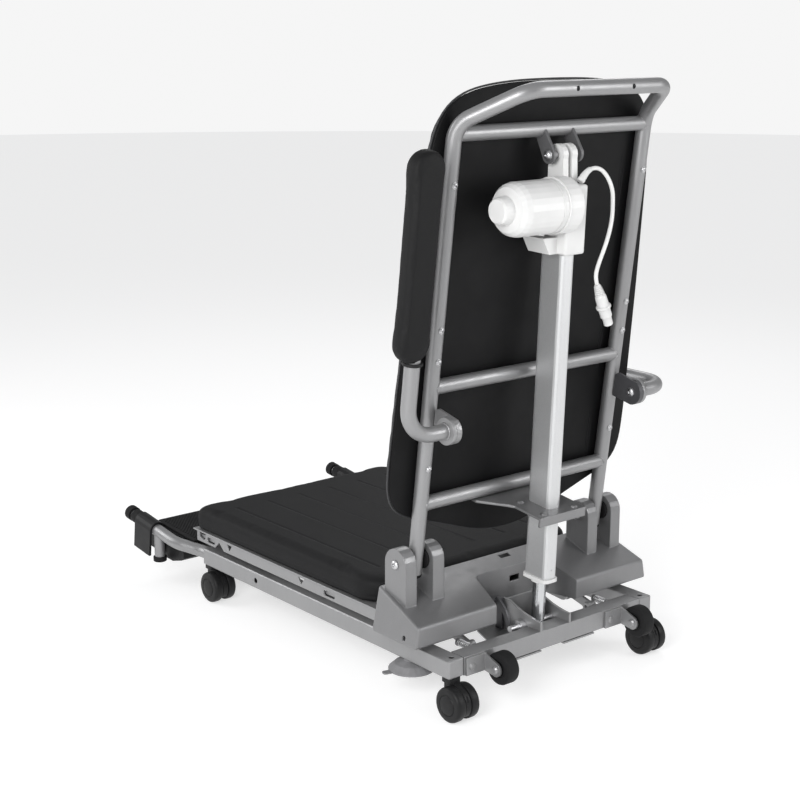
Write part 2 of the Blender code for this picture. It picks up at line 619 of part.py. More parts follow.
def seat_guides(pan):
    """On each side, a rear lug with the inner arm's pivot stud, and a slotted front track for the outer arm."""
    y, z = seat_pivot()
    top = PAN_TOP - SHEET + 0.001
    lugs = new()
    studs = new()
    slots = new()
    raised = Matrix.Translation((0, y - BASE_PIVOT[0], z - BASE_PIVOT[1])) @ SIDE_VIEW
    for _, side in both_sides():
        outline = [(y + 0.020, top), (y - 0.020, top), (y - 0.020, z)] + arc((y, z), 0.013, 200, 340, 6) + [(y + 0.020, z)]
        add_slab(lugs, outline, *span(side, 0.1862, 0.1908), SIDE_VIEW)
        add_cross_pin(studs, y, z, span(side, 0.1880, 0.2012), SHAFT_RADIUS)
        add_box(lugs, span(side, 0.2115, 0.2163), (-0.7375, -0.568), (0.0905, top))
        add_slab(slots, slot_outline(BASE_PIVOT, SHAFT_RADIUS + 0.0007), *span(side, 0.205, 0.220), raised)
    boolean(pan, lugs, "UNION")
    boolean(pan, studs, "UNION")
    boolean(pan, slots)


def seat_cushion():
    half = 0.2530
    rear = [(half - 0.065, -0.190)] + arc((half - 0.065, -0.255), 0.065, 90, 0, 5)[1:]
    front = arc((half - 0.030, -0.760), 0.030, 0, -90, 4)
    outline = mirrored_outline(rear + front)
    cushion = piece("seat_cushion", add_slab(new(), outline, PAN_TOP + GAP, SEAT_TOP, PLAN_VIEW), VINYL, "seat_pivot")
    bevel(cushion, 0.009, 2, 60)


HOUSING_SIDE = ((-0.165, 0.2000), (-0.047, 0.1570), (-0.047, 0.1200), (-0.165, 0.1200))


def housing_half_width(z):
    return 0.2850 - (z - 0.120) * 0.2


def add_housing_block(bm, shrink, below):
    """The wedge of the rear housing, its walls drawn in by shrink and its bottom lowered by below."""
    front, rear = -0.165 + shrink, -0.047 - shrink
    tops = {front: 0.2000 - shrink * 1.0, rear: 0.1570 - shrink * 1.0}
    corners = []
    for side in (-1, 1):
        for y in (front, rear):
            for z in (0.120 - below, tops[y]):
                corners.append(bm.verts.new((side * (housing_half_width(max(z, 0.12)) - shrink), y, z)))
    for face in ((0, 1, 3, 2), (4, 6, 7, 5), (0, 4, 5, 1), (2, 3, 7, 6), (0, 2, 6, 4), (1, 5, 7, 3)):
        bm.faces.new([corners[i] for i in face])
    return bm


def notch_outline(grow):
    """The opening for the actuator in the middle of the housing, in (x, y)."""
    front = -0.124 - grow
    right = [(0.110 + grow, 0.0), (0.086 + grow, -0.105)] + arc((0.072, front + 0.014), 0.014, 0, -90, 4)
    return mirrored_outline(right)


def rear_housing():
    """The folded cover behind the seat, with a lobe and two ears on each side for the back frame."""
    housing = piece("rear_housing", add_housing_block(new(), 0, 0), SILVER, "seat_pivot")
    bevel(housing, 0.004, 2)
    y, z = BACK_PIN
    ears = new()
    for _, side in both_sides():
        for low, high in ((0.1774, 0.2024), (0.2390, 0.2636)):
            outline = [(y + 0.028, 0.1742), (y + 0.028, z)] + arc((y, z), 0.028, 0, 180, 10)[1:-1]
            outline += [(y - 0.028, z), (y - 0.028, 0.1942)]
            add_slab(ears, outline, *span(side, low, high), SIDE_VIEW)
    boolean(housing, ears, "UNION")
    boolean(housing, add_slab(new(), notch_outline(0), 0.100, 0.220, PLAN_VIEW))
    inside = boolean(housing, add_housing_block(new(), SHEET, 0.010))
    helper = bpy.data.objects.new("rear_housing notch walls", bpy.data.meshes.new("notch walls"))
    bm = finished(add_slab(new(), notch_outline(SHEET), 0.090, 0.230, PLAN_VIEW), CARRIERS["seat_pivot"]["place"])
    bm.to_mesh(helper.data)
    bm.free()
    bpy.context.scene.collection.objects.link(helper)
    helper.parent = CARRIERS["seat_pivot"]
    helper.hide_render = True
    helper.display_type = "WIRE"
    walls = inside.modifiers.new("Notch walls", "BOOLEAN")
    walls.object = helper
    holes = new()
    for _, side in both_sides():
        add_cross_pin(holes, y, z, span(side, 0.1700, 0.2700), 0.0053)
        add_cross_pin(holes, -0.080, 0.1320, span(side, 0.2700, 0.2950), 0.0045, 12)
    add_box(holes, (-0.2535, 0.2535), (-0.175, -0.155), (0.100, PAN_TOP + GAP))
    add_slab(holes, rounded_rectangle(0.0125, 0.0050, 0.001, 1, (-0.016, -0.1520)), 0.185, 0.210, PLAN_VIEW)
    add_box(holes, (-0.028, -0.004), (-0.140, -0.118), (0.155, 0.166))
    boolean(housing, holes)


def frame_bolts():
    """The button-head bolts through the ears, and the one through the actuator's upper eye, each with its nut."""
    y, z = BACK_PIN
    for name, side in both_sides():
        profile = [(0, 0.2690), (0.0050, 0.2690), (0.0085, 0.2660), (0.0090, 0.2639), (0.0050, 0.2639), (0.0050, 0.1771),
                   (0.0085, 0.1771), (0.0085, 0.1700), (0, 0.1700)]
        piece(f"ear_bolt_{name}", add_turned(new(), profile, along((0, y, z), (side, 0, 0)), 14), ZINC, "seat_pivot")
    profile = [(0, 0.0405), (0.0050, 0.0405), (0.0085, 0.0380), (0.0090, 0.0348), (0.0060, 0.0348), (0.0060, -0.0348),
               (0.0090, -0.0348), (0.0085, -0.0380), (0.0050, -0.0405), (0, -0.0405)]
    piece("upper_pin", add_turned(new(), profile, along(actuator_point(0.8305), (1, 0, 0)), 14), ZINC, "seat_pivot")


# The back

def back_frame():
    """The bent side tube and handle, its three crossbars and the actuator's upper clevis, welded into one."""
    corner_z = 0.990
    half = [(BACK_X, back_y(0.222), 0.222), (BACK_X, back_y(corner_z), corner_z), (0.155, HANDLE_Y, 1.0450)]
    corners = half + [(-x, y, z) for x, y, z in reversed(half)]
    path = bent(corners, 0.048, 3)
    frame = piece("back_frame", add_tube(new(), path, BACK_TUBE), SILVER, "seat_pivot")
    bars = new()
    bores = new()
    for z in CROSSBAR_Z:
        add_cross_pin(bars, back_y(z), z, (-BACK_X, BACK_X), BACK_TUBE - 0.0002)
        add_cross_pin(bores, back_y(z), z, (-BACK_X, BACK_X), BACK_TUBE - 0.002, 10)
    boolean(frame, bars, "UNION")
    eye = actuator_point(0.8305)
    plates = new()
    bar = (back_y(CROSSBAR_Z[0]), CROSSBAR_Z[0])
    outline = arc((eye.y, eye.z), 0.0145, -140, 40, 8) + arc(bar, 0.0110, 60, 200, 5)
    for _, side in both_sides():
        add_slab(plates, outline, *span(side, 0.0290, 0.0345), SIDE_VIEW)
    boolean(frame, plates, "UNION")
    inner = [(BACK_X, back_y(0.210), 0.210)] + half[1:]
    inner += [(-x, y, z) for x, y, z in reversed(inner)]
    boolean(frame, add_tube(new(), bent(inner, 0.048, 3), BACK_TUBE - 0.002, 10))
    boolean(frame, bores)
    holes = new()
    for _, side in both_sides():
        add_cross_pin(holes, *BACK_PIN, span(side, BACK_X - 0.02, BACK_X + 0.02), 0.0053)
        add_cylinder(holes, (side * 0.064, HANDLE_Y, 1.0450), (side * 0.064, HANDLE_Y + 0.03, 1.0450), 0.0040, 8)
    add_cross_pin(holes, eye.y, eye.z, (-0.05, 0.05), 0.0063)
    boolean(frame, holes)


def back_frame_ends():
    """The plugs in the lower ends of the side tubes."""
    for name, side in both_sides():
        low = Vector((side * BACK_X, back_y(0.222), 0.222))
        up = Vector((0, BACK_SLOPE, 1)).normalized()
        profile = [(0, -0.0065), (0.0110, -0.0065), (0.0130, -0.0045), (0.0130, -GAP), (0.0104, -GAP), (0.0104, 0.006),
                   (0, 0.006)]
        piece(f"back_frame_plug_{name}", add_turned(new(), profile, along(low, up), 16), BLACK_RUBBER, "seat_pivot")


PAD_THICKNESS = 0.026


def pad_plane():
    """The back pad's rear face: u is across, v is up the slope and w is the way forward."""
    up = Vector((0, BACK_SLOPE, 1)).normalized()
    forward = Vector((0, -1, BACK_SLOPE)).normalized()
    z = 0.640
    origin = Vector((0, back_y(z), z)) + forward * (BACK_TUBE + 0.0005)
    return axes(origin, (-1, 0, 0), up, forward)


def pad_half_outline():
    """Half of the back pad's outline, from the top middle round to the bottom of its tongue."""
    top = [(0.0, 0.4120), (0.075, 0.4110), (0.130, 0.4070), (0.165, 0.4015), (0.190, 0.3955), (0.210, 0.3860)]
    top += [(0.2265, 0.3720), (0.2385, 0.3520), (0.2455, 0.3300), (0.2500, 0.3000)]
    side = [(0.2560, 0.240), (0.2680, 0.040), (0.2780, -0.200)]
    bottom = arc((0.2220, -0.262), 0.056, -5, -85, 5)
    tongue = [(0.175, -0.336), (0.130, -0.352), (0.085, -0.369), (0.040, -0.3795)]
    return top + side + bottom + tongue


def back_pad():
    half = pad_half_outline()
    outline = half + [(0.0, -0.3825)] + [(-u, v) for u, v in reversed(half[1:])]
    pad = piece("back_pad", add_slab(new(), outline, 0, PAD_THICKNESS, pad_plane()), BLACK_FOAM, "seat_pivot")
    bevel(pad, 0.007, 2, 60)


# The actuator

def actuator():
    profile_low, profile_high = 0.0885, 0.6660
    tube = piece("actuator_profile", add_slab(new(), rounded_rectangle(0.0150, 0.0275, 0.008), profile_low, profile_high,
                                              ACTUATOR_FRAME), ANODISED, "seat_pivot")
    boolean(tube, add_turned(new(), [(0, 0.05), (0.0133, 0.05), (0.0133, 0.660), (0, 0.660)], ACTUATOR_FRAME))
    collar = piece("profile_end_cap", add_slab(new(), rounded_rectangle(0.0180, 0.0305, 0.010), profile_low - 0.0065,
                                               profile_low - GAP, ACTUATOR_FRAME), WHITE, "seat_pivot")
    boolean(collar, add_turned(new(), [(0, 0.05), (0.0127, 0.05), (0.0127, 0.120), (0, 0.120)], ACTUATOR_FRAME))
    rod = piece("actuator_rod", add_turned(new(), [(0, -0.0115), (0.0080, -0.0115), (0.0122, -0.0060), (0.0122, 0.6000),
                                                   (0.0115, 0.6010), (0, 0.6010)], ACTUATOR_FRAME), ROD_STEEL)
    boolean(rod, add_cross_pin(new(), PIN_Y, PIN_Z, (-0.02, 0.02), SHAFT_RADIUS + GAP))
    gearbox(profile_high)
    motor()


def gearbox(low):
    """The white gear housing on top of the profile, with its two lugs for the upper bolt."""
    outline = [(-0.0230, 0.0020), (0.0230, 0.0020), (0.0230, 0.1180), (-0.0230, 0.1180)]
    u, v, w = (ACTUATOR_FRAME.col[i].to_3d() for i in range(3))
    frame = axes(ACTUATOR_FRAME @ Vector((0, 0, low)), u, w, -v)
    box = piece("gear_housing", add_slab(new(), outline, -0.0400, 0.0410, frame), WHITE, "seat_pivot")
    bevel(box, 0.004, 2)
    flange = axes(MOTOR_CENTRE, (0, 1, 0), (0, 0, 1), (1, 0, 0))
    boolean(box, add_turned(new(), [(0, 0.015), (0.0470, 0.015), (0.0470, 0.0470), (0, 0.0470)], flange, 28), "UNION")
    chin = [(0.0400, 0.0), (0.0560, 0.028), (-0.0100, 0.028), (-0.0100, 0.0)]
    boolean(box, add_slab(new(), [(a, b + 0.0030) for a, b in chin], -0.020, 0.030, frame), "UNION")
    eye = actuator_point(0.8305)
    lug = arc((eye.y, eye.z), 0.0180, -20, 200, 10) + [(eye.y - 0.019, 0.878), (eye.y + 0.019, 0.878)]
    lugs = new()
    for _, side in both_sides():
        add_slab(lugs, lug, *span(side, 0.0045, 0.0165), SIDE_VIEW)
    boolean(box, lugs, "UNION")
    boolean(box, add_cross_pin(new(), eye.y, eye.z, (-0.03, 0.03), 0.0063, 16))


MOTOR_CENTRE = (0.0, 0.011, 0.8535)


def motor():
    """The motor can on the gear housing's left face, with its domed end and boss."""
    frame = axes(MOTOR_CENTRE, (0, 1, 0), (0, 0, 1), (1, 0, 0))
    profile = [(0, 0.0473), (0.0450, 0.0473), (0.0450, 0.1280), (0.0425, 0.1380), (0.0370, 0.1450), (0.0240, 0.1480),
               (0.0215, 0.1640), (0.0190, 0.1675), (0, 0.1675)]
    can = piece("motor_can", add_turned(new(), profile, frame, 28), WHITE, "seat_pivot")
    rib = add_slab(new(), [(0.052, 0.0000), (0.130, 0.0130), (0.135, 0.0200), (0.052, 0.0200)], -0.0030, 0.0030,
                   axes((0, 0.0, MOTOR_CENTRE[2] - 0.0500), (1, 0, 0), (0, 0, 1), (0, -1, 0)))
    boolean(can, rib, "UNION")


# The hanging lead: its exit, its route and its connector

LEAD_RADIUS = 0.0035
LEAD_EXIT = Vector((-0.0180, 0.0180, 0.8950))
LEAD_ROUTE = (
    (-0.0320, 0.0182, 0.9105), (-0.0635, 0.0190, 0.9120), (-0.0915, 0.0188, 0.8770), (-0.0930, 0.0180, 0.8505),
    (-0.0940, 0.0175, 0.8245), (-0.0865, 0.0167, 0.7935), (-0.0755, 0.0160, 0.7680), (-0.0570, 0.0150, 0.7320),
    (-0.0640, 0.0146, 0.7130))
CONNECTOR_END = Vector((-0.1010, 0.0140, 0.6300))


def smooth_route(points, step):
    """Points at even steps along a cubic B-spline, which starts and ends at the first and last of its controls."""
    knots = [2 * Vector(points[0]) - Vector(points[1])] + [Vector(p) for p in points]
    knots.append(2 * knots[-1] - knots[-2])
    fine = []
    for a, b, c, d in zip(knots, knots[1:], knots[2:], knots[3:]):
        for i in range(12):
            t = i / 12
            weights = ((1 - t) ** 3, 3 * t ** 3 - 6 * t * t + 4, -3 * t ** 3 + 3 * t * t + 3 * t + 1, t ** 3)
            fine.append(sum((p * w for p, w in zip((a, b, c, d), weights)), Vector()) / 6)
    fine.append(knots[-2])
    lengths = [0.0]
    for a, b in zip(fine, fine[1:]):
        lengths.append(lengths[-1] + (b - a).length)
    count = max(2, round(lengths[-1] / step))
    even = []
    for k in range(count + 1):
        want = lengths[-1] * k / count
        i = min(next((n for n, s in enumerate(lengths) if s >= want - 1e-12), len(fine) - 1), len(fine) - 1)
        i = max(i, 1)
        share = (want - lengths[i - 1]) / max(lengths[i] - lengths[i - 1], 1e-9)
        even.append(fine[i - 1].lerp(fine[i], min(share, 1.0)))
    return even


def lead():
    gland = [(0, 0), (0.0048, 0), (0.0048, 0.0016), (0.0036, 0.0030), (0, 0.0040)]
    foot = Vector((LEAD_EXIT.x, LEAD_EXIT.y, 0.8885))
    piece("lead_gland", add_turned(new(), gland, along(foot, (0, 0, 1)), 16), WHITE, "seat_pivot")
    curve = bpy.data.curves.new("lead", "CURVE")
    curve.dimensions = "3D"
    curve.bevel_depth = LEAD_RADIUS
    curve.bevel_resolution = 2
    curve.use_fill_caps = True
    place = Vector(CARRIERS["seat_pivot"]["place"])
    route = smooth_route([LEAD_EXIT, *LEAD_ROUTE], 0.010)
    spline = curve.splines.new("POLY")
    spline.points.add(len(route) - 1)
    for point, at in zip(spline.points, route):
        point.co = (*(at - place), 1)
    curve.materials.append(material("lead white sheath", *WHITE[1:]))
    cable = bpy.data.objects.new("lead", curve)
    bpy.context.scene.collection.objects.link(cable)
    cable.parent = CARRIERS["seat_pivot"]
    down = (CONNECTOR_END - Vector(LEAD_ROUTE[-1])).normalized()
    profile = [(0, 0.0005), (0.0048, 0.0005), (0.0085, 0.0180), (0.0095, 0.0230), (0.0105, 0.0420), (0.0130, 0.0425),
               (0.0130, 0.0465), (0.0108, 0.0470), (0.0105, 0.0640), (0.0085, 0.0645), (0.0080, 0.0800), (0, 0.0800)]
    piece("lead_connector", add_turned(new(), profile, along(LEAD_ROUTE[-1], down), 14), WHITE, "seat_pivot")


def guide_plate():
    """The bracket under the lowest crossbar that steadies the actuator's profile, with its four bolts."""
    slope = math.atan(BACK_SLOPE)
    up = Vector((0, math.sin(slope), math.cos(slope)))
    rear = Vector((0, math.cos(slope), -math.sin(slope)))
    origin = Vector((0, back_y(CROSSBAR_Z[2]), CROSSBAR_Z[2])) - up * (BACK_TUBE + GAP)
    plane = axes(origin, (1, 0, 0), rear, up)
    outline = mirrored_outline([(0.100, -0.012), (0.100, 0.010), (0.064, 0.050), (0.055, 0.062), (0.055, 0.126)])
    bm = add_slab(new(), outline, -0.0045, 0, plane)
    plate = piece("guide_plate", bm, SILVER, "seat_pivot")
    lip = [(-0.055, 0.1220), (0.055, 0.1220), (0.055, 0.1260), (-0.055, 0.1260)]
    boolean(plate, add_slab(new(), lip, -0.0170, -0.0020, plane), "UNION")
    boolean(plate, add_slab(new(), rounded_rectangle(0.0153, 0.0278, 0.0083), 0.150, 0.300, ACTUATOR_FRAME))
    spots = [(side * 0.036, at) for _, side in both_sides() for at in (0.0545, 0.1150)]
    bolts = new()
    for x, at in spots:
        head = [(0, 0.0035), (0.0040, 0.0035), (0.0070, 0.0015), (0.0070, -0.0105), (0, -0.0105)]
        add_turned(bolts, head, along(plane @ Vector((x, at, 0)), up), 8)
    boolean(plate, bolts, "UNION")


# The armrests

def armrests():
    y, z = ARMREST_PIVOT
    for name, side in both_sides():
        carrier(f"{name}_armrest_hinge", (side * 0.232, y, z), "seat_pivot")
        armrest_bracket(name, side)
        armrest(name, side)


def armrest_bracket(name, side):
    """The plate welded behind the side tube, with the fixed hinge disc."""
    y, z = ARMREST_PIVOT
    tube_y = back_y(z) + BACK_TUBE + 0.0006
    top = [(tube_y + 0.0042, z + 0.026), (tube_y + 0.012, z + 0.0300)]
    outline = top + arc((y, z), 0.0235, 55, -90, 10) + [(tube_y - 0.0015, z - 0.014)]
    bracket = piece(f"arm_bracket_{name}", add_slab(new(), outline, *span(side, 0.2140, 0.2190), SIDE_VIEW),
                    SILVER if side > 0 else DARK_STEEL, "seat_pivot")
    boolean(bracket, add_cross_pin(new(), y, z, span(side, 0.2180, 0.2240), 0.0235, 20), "UNION")
    boolean(bracket, add_cross_pin(new(), y, z, span(side, 0.2000, 0.2300), 0.0053))


def armrest(name, side):
    """The bent tube with its hinge flange, and the pad on it. The left one is folded up, the right one is down."""
    y, z = ARMREST_PIVOT
    on = f"{name}_armrest_hinge"
    drop = Matrix.Identity(4)
    if side < 0:
        turn = Matrix.Rotation(math.radians(ARMREST_DROP), 4, "X")
        drop = Matrix.Translation((0, y, z)) @ turn @ Matrix.Translation((0, -y, -z))
    top = 0.645
    corners = [(side * 0.2300, y, z), (side * ARMREST_X, y, z), (side * ARMREST_X, y + (top - z) * BACK_SLOPE, top)]
    tube = add_tube(new(), [drop @ Vector(p) for p in bent(corners, 0.054, 5)], BACK_TUBE)
    arm = piece(f"armrest_tube_{name}", tube, SILVER, on)
    boolean(arm, add_cross_pin(new(), y, z, span(side, 0.2243, 0.2320), 0.0235, 20), "UNION")
    boolean(arm, add_cross_pin(new(), y, z, span(side, 0.2000, 0.2400), 0.0053))
    up = Vector((0, BACK_SLOPE, 1)).normalized()
    back = Vector((0, 1, -BACK_SLOPE)).normalized()
    centre = Vector((side * (ARMREST_X + 0.006), y + (0.792 - z) * BACK_SLOPE, 0.792))
    frame = drop @ axes(centre, (1, 0, 0), up, back)
    outline = arc((0, 0.138), 0.031, 0, 180, 10) + arc((0, -0.138), 0.031, 180, 360, 10)
    pad = piece(f"armrest_pad_{name}", add_slab(new(), outline, -0.0155, 0.0155, frame), BLACK_FOAM, on)
    bevel(pad, 0.006, 2, 60)
    socket = bent(corners, 0.054, 5)[-2:]
    boolean(pad, add_tube(new(), [drop @ socket[0], drop @ (socket[1] + up * 0.002)], BACK_TUBE + 0.0010))


def armrest_bolts():
    """The hinge bolts that the armrests turn on."""
    y, z = ARMREST_PIVOT
    for name, side in both_sides():
        profile = [(0, 0.2080), (0.0050, 0.2080), (0.0080, 0.2105), (0.0085, 0.2137), (0.0050, 0.2137), (0.0050, 0.2385),
                   (0, 0.2385)]
        piece(f"armrest_hinge_bolt_{name}", add_turned(new(), profile, along((0, y, z), (side, 0, 0)), 14), ZINC,
              "seat_pivot")


def main():
    clear_scene()
    carrier("chassis", (0, REAR_Y, 0), None)
    rails()
    crossbeams()
    actuator_clevis()
    lower_pin()
    latch_lever()
    assist_levers()
    transport_wheels()
    suction_foot()
    castors()
    footrest()
    lifting_arms()
    carrier("seat_pivot", (0, *seat_pivot()), "centre_pivot")
    seat_frame()
    seat_cushion()
    rear_housing()
    frame_bolts()
    back_frame()
    back_frame_ends()
    back_pad()
    actuator()
    lead()
    guide_plate()
    armrests()
    armrest_bolts()


main()
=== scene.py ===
"""Looks for the sit to stand lift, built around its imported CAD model. Metres, +Z up, in the row frame."""
import json
import math

import bmesh
import bpy
import numpy as np
from mathutils import Matrix, Vector
from mathutils.bvhtree import BVHTree

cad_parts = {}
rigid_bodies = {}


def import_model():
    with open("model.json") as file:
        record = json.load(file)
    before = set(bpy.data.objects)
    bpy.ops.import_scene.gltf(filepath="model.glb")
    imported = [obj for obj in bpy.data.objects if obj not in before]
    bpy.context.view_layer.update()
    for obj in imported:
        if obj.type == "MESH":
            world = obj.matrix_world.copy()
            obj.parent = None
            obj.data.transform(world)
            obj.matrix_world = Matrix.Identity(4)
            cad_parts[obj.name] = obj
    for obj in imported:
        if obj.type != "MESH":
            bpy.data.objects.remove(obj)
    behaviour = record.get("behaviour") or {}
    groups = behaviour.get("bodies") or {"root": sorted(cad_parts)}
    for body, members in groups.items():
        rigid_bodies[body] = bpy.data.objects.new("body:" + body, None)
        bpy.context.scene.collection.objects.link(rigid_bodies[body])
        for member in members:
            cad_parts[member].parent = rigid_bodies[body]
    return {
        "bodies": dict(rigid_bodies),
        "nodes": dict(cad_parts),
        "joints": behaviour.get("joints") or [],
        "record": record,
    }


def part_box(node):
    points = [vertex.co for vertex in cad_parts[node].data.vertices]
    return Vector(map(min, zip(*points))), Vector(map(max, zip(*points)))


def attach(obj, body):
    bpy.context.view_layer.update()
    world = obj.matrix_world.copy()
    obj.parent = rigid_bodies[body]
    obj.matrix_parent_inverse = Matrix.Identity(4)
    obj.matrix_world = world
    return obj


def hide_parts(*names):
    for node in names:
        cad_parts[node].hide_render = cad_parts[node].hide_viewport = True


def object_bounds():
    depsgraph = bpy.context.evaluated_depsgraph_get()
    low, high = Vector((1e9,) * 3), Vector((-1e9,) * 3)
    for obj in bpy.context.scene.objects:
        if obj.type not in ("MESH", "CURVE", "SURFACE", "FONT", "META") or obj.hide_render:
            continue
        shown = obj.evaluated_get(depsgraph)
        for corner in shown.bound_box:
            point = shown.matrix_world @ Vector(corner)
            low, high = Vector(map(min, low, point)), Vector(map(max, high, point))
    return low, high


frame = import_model()
NODES = frame["nodes"]
CAD_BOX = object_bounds()

REAR_Y = 0.4676                  # rear face of the base rails in the row frame
SHIFT = Vector((0, REAR_Y, 0))   # shapes below are drawn from that face, as the CAD's are

# Camera, at the photograph's viewing angle
CAMERA_AT = Vector((1.8801, 2.3197, 1.1497))
CAMERA_AZIMUTH = 140.5576
CAMERA_ELEVATION = 13.5239
CAMERA_LENS = 71.191

FLOOR_GLOW = 0.60                # lifts the floor to the backdrop's white


# ---------------------------------------------------------------- stage

def linked(name, data):
    obj = bpy.data.objects.new(name, data)
    bpy.context.scene.collection.objects.link(obj)
    return obj


def as_mesh(name, bm):
    mesh = bpy.data.meshes.new(name)
    bm.to_mesh(mesh)
    bm.free()
    return mesh


def view_axes():
    a, e = math.radians(CAMERA_AZIMUTH), math.radians(CAMERA_ELEVATION)
    back = Vector((math.sin(a) * math.cos(e), -math.cos(a) * math.cos(e), math.sin(e)))
    right = Vector((math.cos(a), math.sin(a), 0))
    return right, back.cross(right), back


def add_camera():
    data = bpy.data.cameras.new("camera")
    data.sensor_width = 36
    data.lens = CAMERA_LENS
    data.clip_start = 0.05
    data.clip_end = 60
    camera = linked("camera", data)
    right, up, back = view_axes()
    turn = Matrix((right, up, back)).transposed().to_4x4()
    camera.matrix_world = Matrix.Translation(CAMERA_AT) @ turn
    bpy.context.scene.camera = camera


def add_area(name, at, target, size, energy):
    data = bpy.data.lights.new(name, "AREA")
    data.shape = "DISK"
    data.size = size
    data.energy = energy
    light = linked(name, data)
    light.location = at
    light.rotation_mode = "QUATERNION"
    light.rotation_quaternion = (Vector(target) - Vector(at)).to_track_quat("-Z", "Y")


def add_world(lit, seen):
    """An even soft sky, a little brighter overhead, and a paler plain backdrop behind the object."""
    world = bpy.data.worlds.new("soft studio")
    bpy.context.scene.world = world
    world.use_nodes = True
    tree = world.node_tree
    sky = tree.nodes["Background"]
    place = tree.nodes.new("ShaderNodeTexCoord")
    parts = tree.nodes.new("ShaderNodeSeparateXYZ")
    height = tree.nodes.new("ShaderNodeMapRange")
    height.inputs["To Min"].default_value = lit * 0.85
    height.inputs["To Max"].default_value = lit * 1.25
    backdrop = tree.nodes.new("ShaderNodeBackground")
    backdrop.inputs["Color"].default_value = (1, 1, 1, 1)
    backdrop.inputs["Strength"].default_value = seen
    path = tree.nodes.new("ShaderNodeLightPath")
    mix = tree.nodes.new("ShaderNodeMixShader")
    tree.links.new(place.outputs["Generated"], parts.inputs["Vector"])
    tree.links.new(parts.outputs["Z"], height.inputs["Value"])
    tree.links.new(height.outputs["Result"], sky.inputs["Strength"])
    tree.links.new(path.outputs["Is Camera Ray"], mix.inputs["Fac"])
    tree.links.new(sky.outputs["Background"], mix.inputs[1])
    tree.links.new(backdrop.outputs["Background"], mix.inputs[2])
    tree.links.new(mix.outputs["Shader"], tree.nodes["World Output"].inputs["Surface"])
    sky.inputs["Color"].default_value = (0.98, 0.985, 1.0, 1)


def add_floor():
    bm = bmesh.new()
    bmesh.ops.create_circle(bm, cap_ends=True, radius=14, segments=96)
    mesh = as_mesh("floor", bm)
    floor = linked("floor", mesh)
    floor.location.z = CAD_BOX[0].z - 0.0002
    made = bpy.data.materials.new("pale floor")
    made.use_nodes = True
    shader = made.node_tree.nodes["Principled BSDF"]
    shader.inputs["Base Color"].default_value = (0.5, 0.5, 0.5, 1)
    shader.inputs["Roughness"].default_value = 0.85
    shader.inputs["Specular IOR Level"].default_value = 0.1
    shader.inputs["Emission Color"].default_value = (1, 1, 1, 1)
    shader.inputs["Emission Strength"].default_value = FLOOR_GLOW
    mesh.materials.append(made)


add_camera()
RIGHT, _, BACK = view_axes()
LEVEL = Vector((BACK.x, BACK.y, 0)).normalized()
MIDDLE = Vector((0, 0, 0.5))
bpy.context.scene.view_settings.view_transform = "Standard"
add_area("key", MIDDLE - RIGHT * 0.7 + LEVEL * 2.3 + Vector((0, 0, 0.8)), MIDDLE, 1.1, 42)
add_area("side", MIDDLE + RIGHT * 2.2 + LEVEL * 0.9 + Vector((0, 0, 0.7)), MIDDLE, 1.2, 18)
add_area("fill", MIDDLE - RIGHT * 2.4 - LEVEL * 0.4 + Vector((0, 0, 0.9)), MIDDLE, 1.6, 22)
add_area("rim", MIDDLE - LEVEL * 2.2 + RIGHT * 0.6 + Vector((0, 0, 1.9)), MIDDLE, 1.4, 14)
add_world(0.40, 0.92)
add_floor()


# ---------------------------------------------------------------- materials

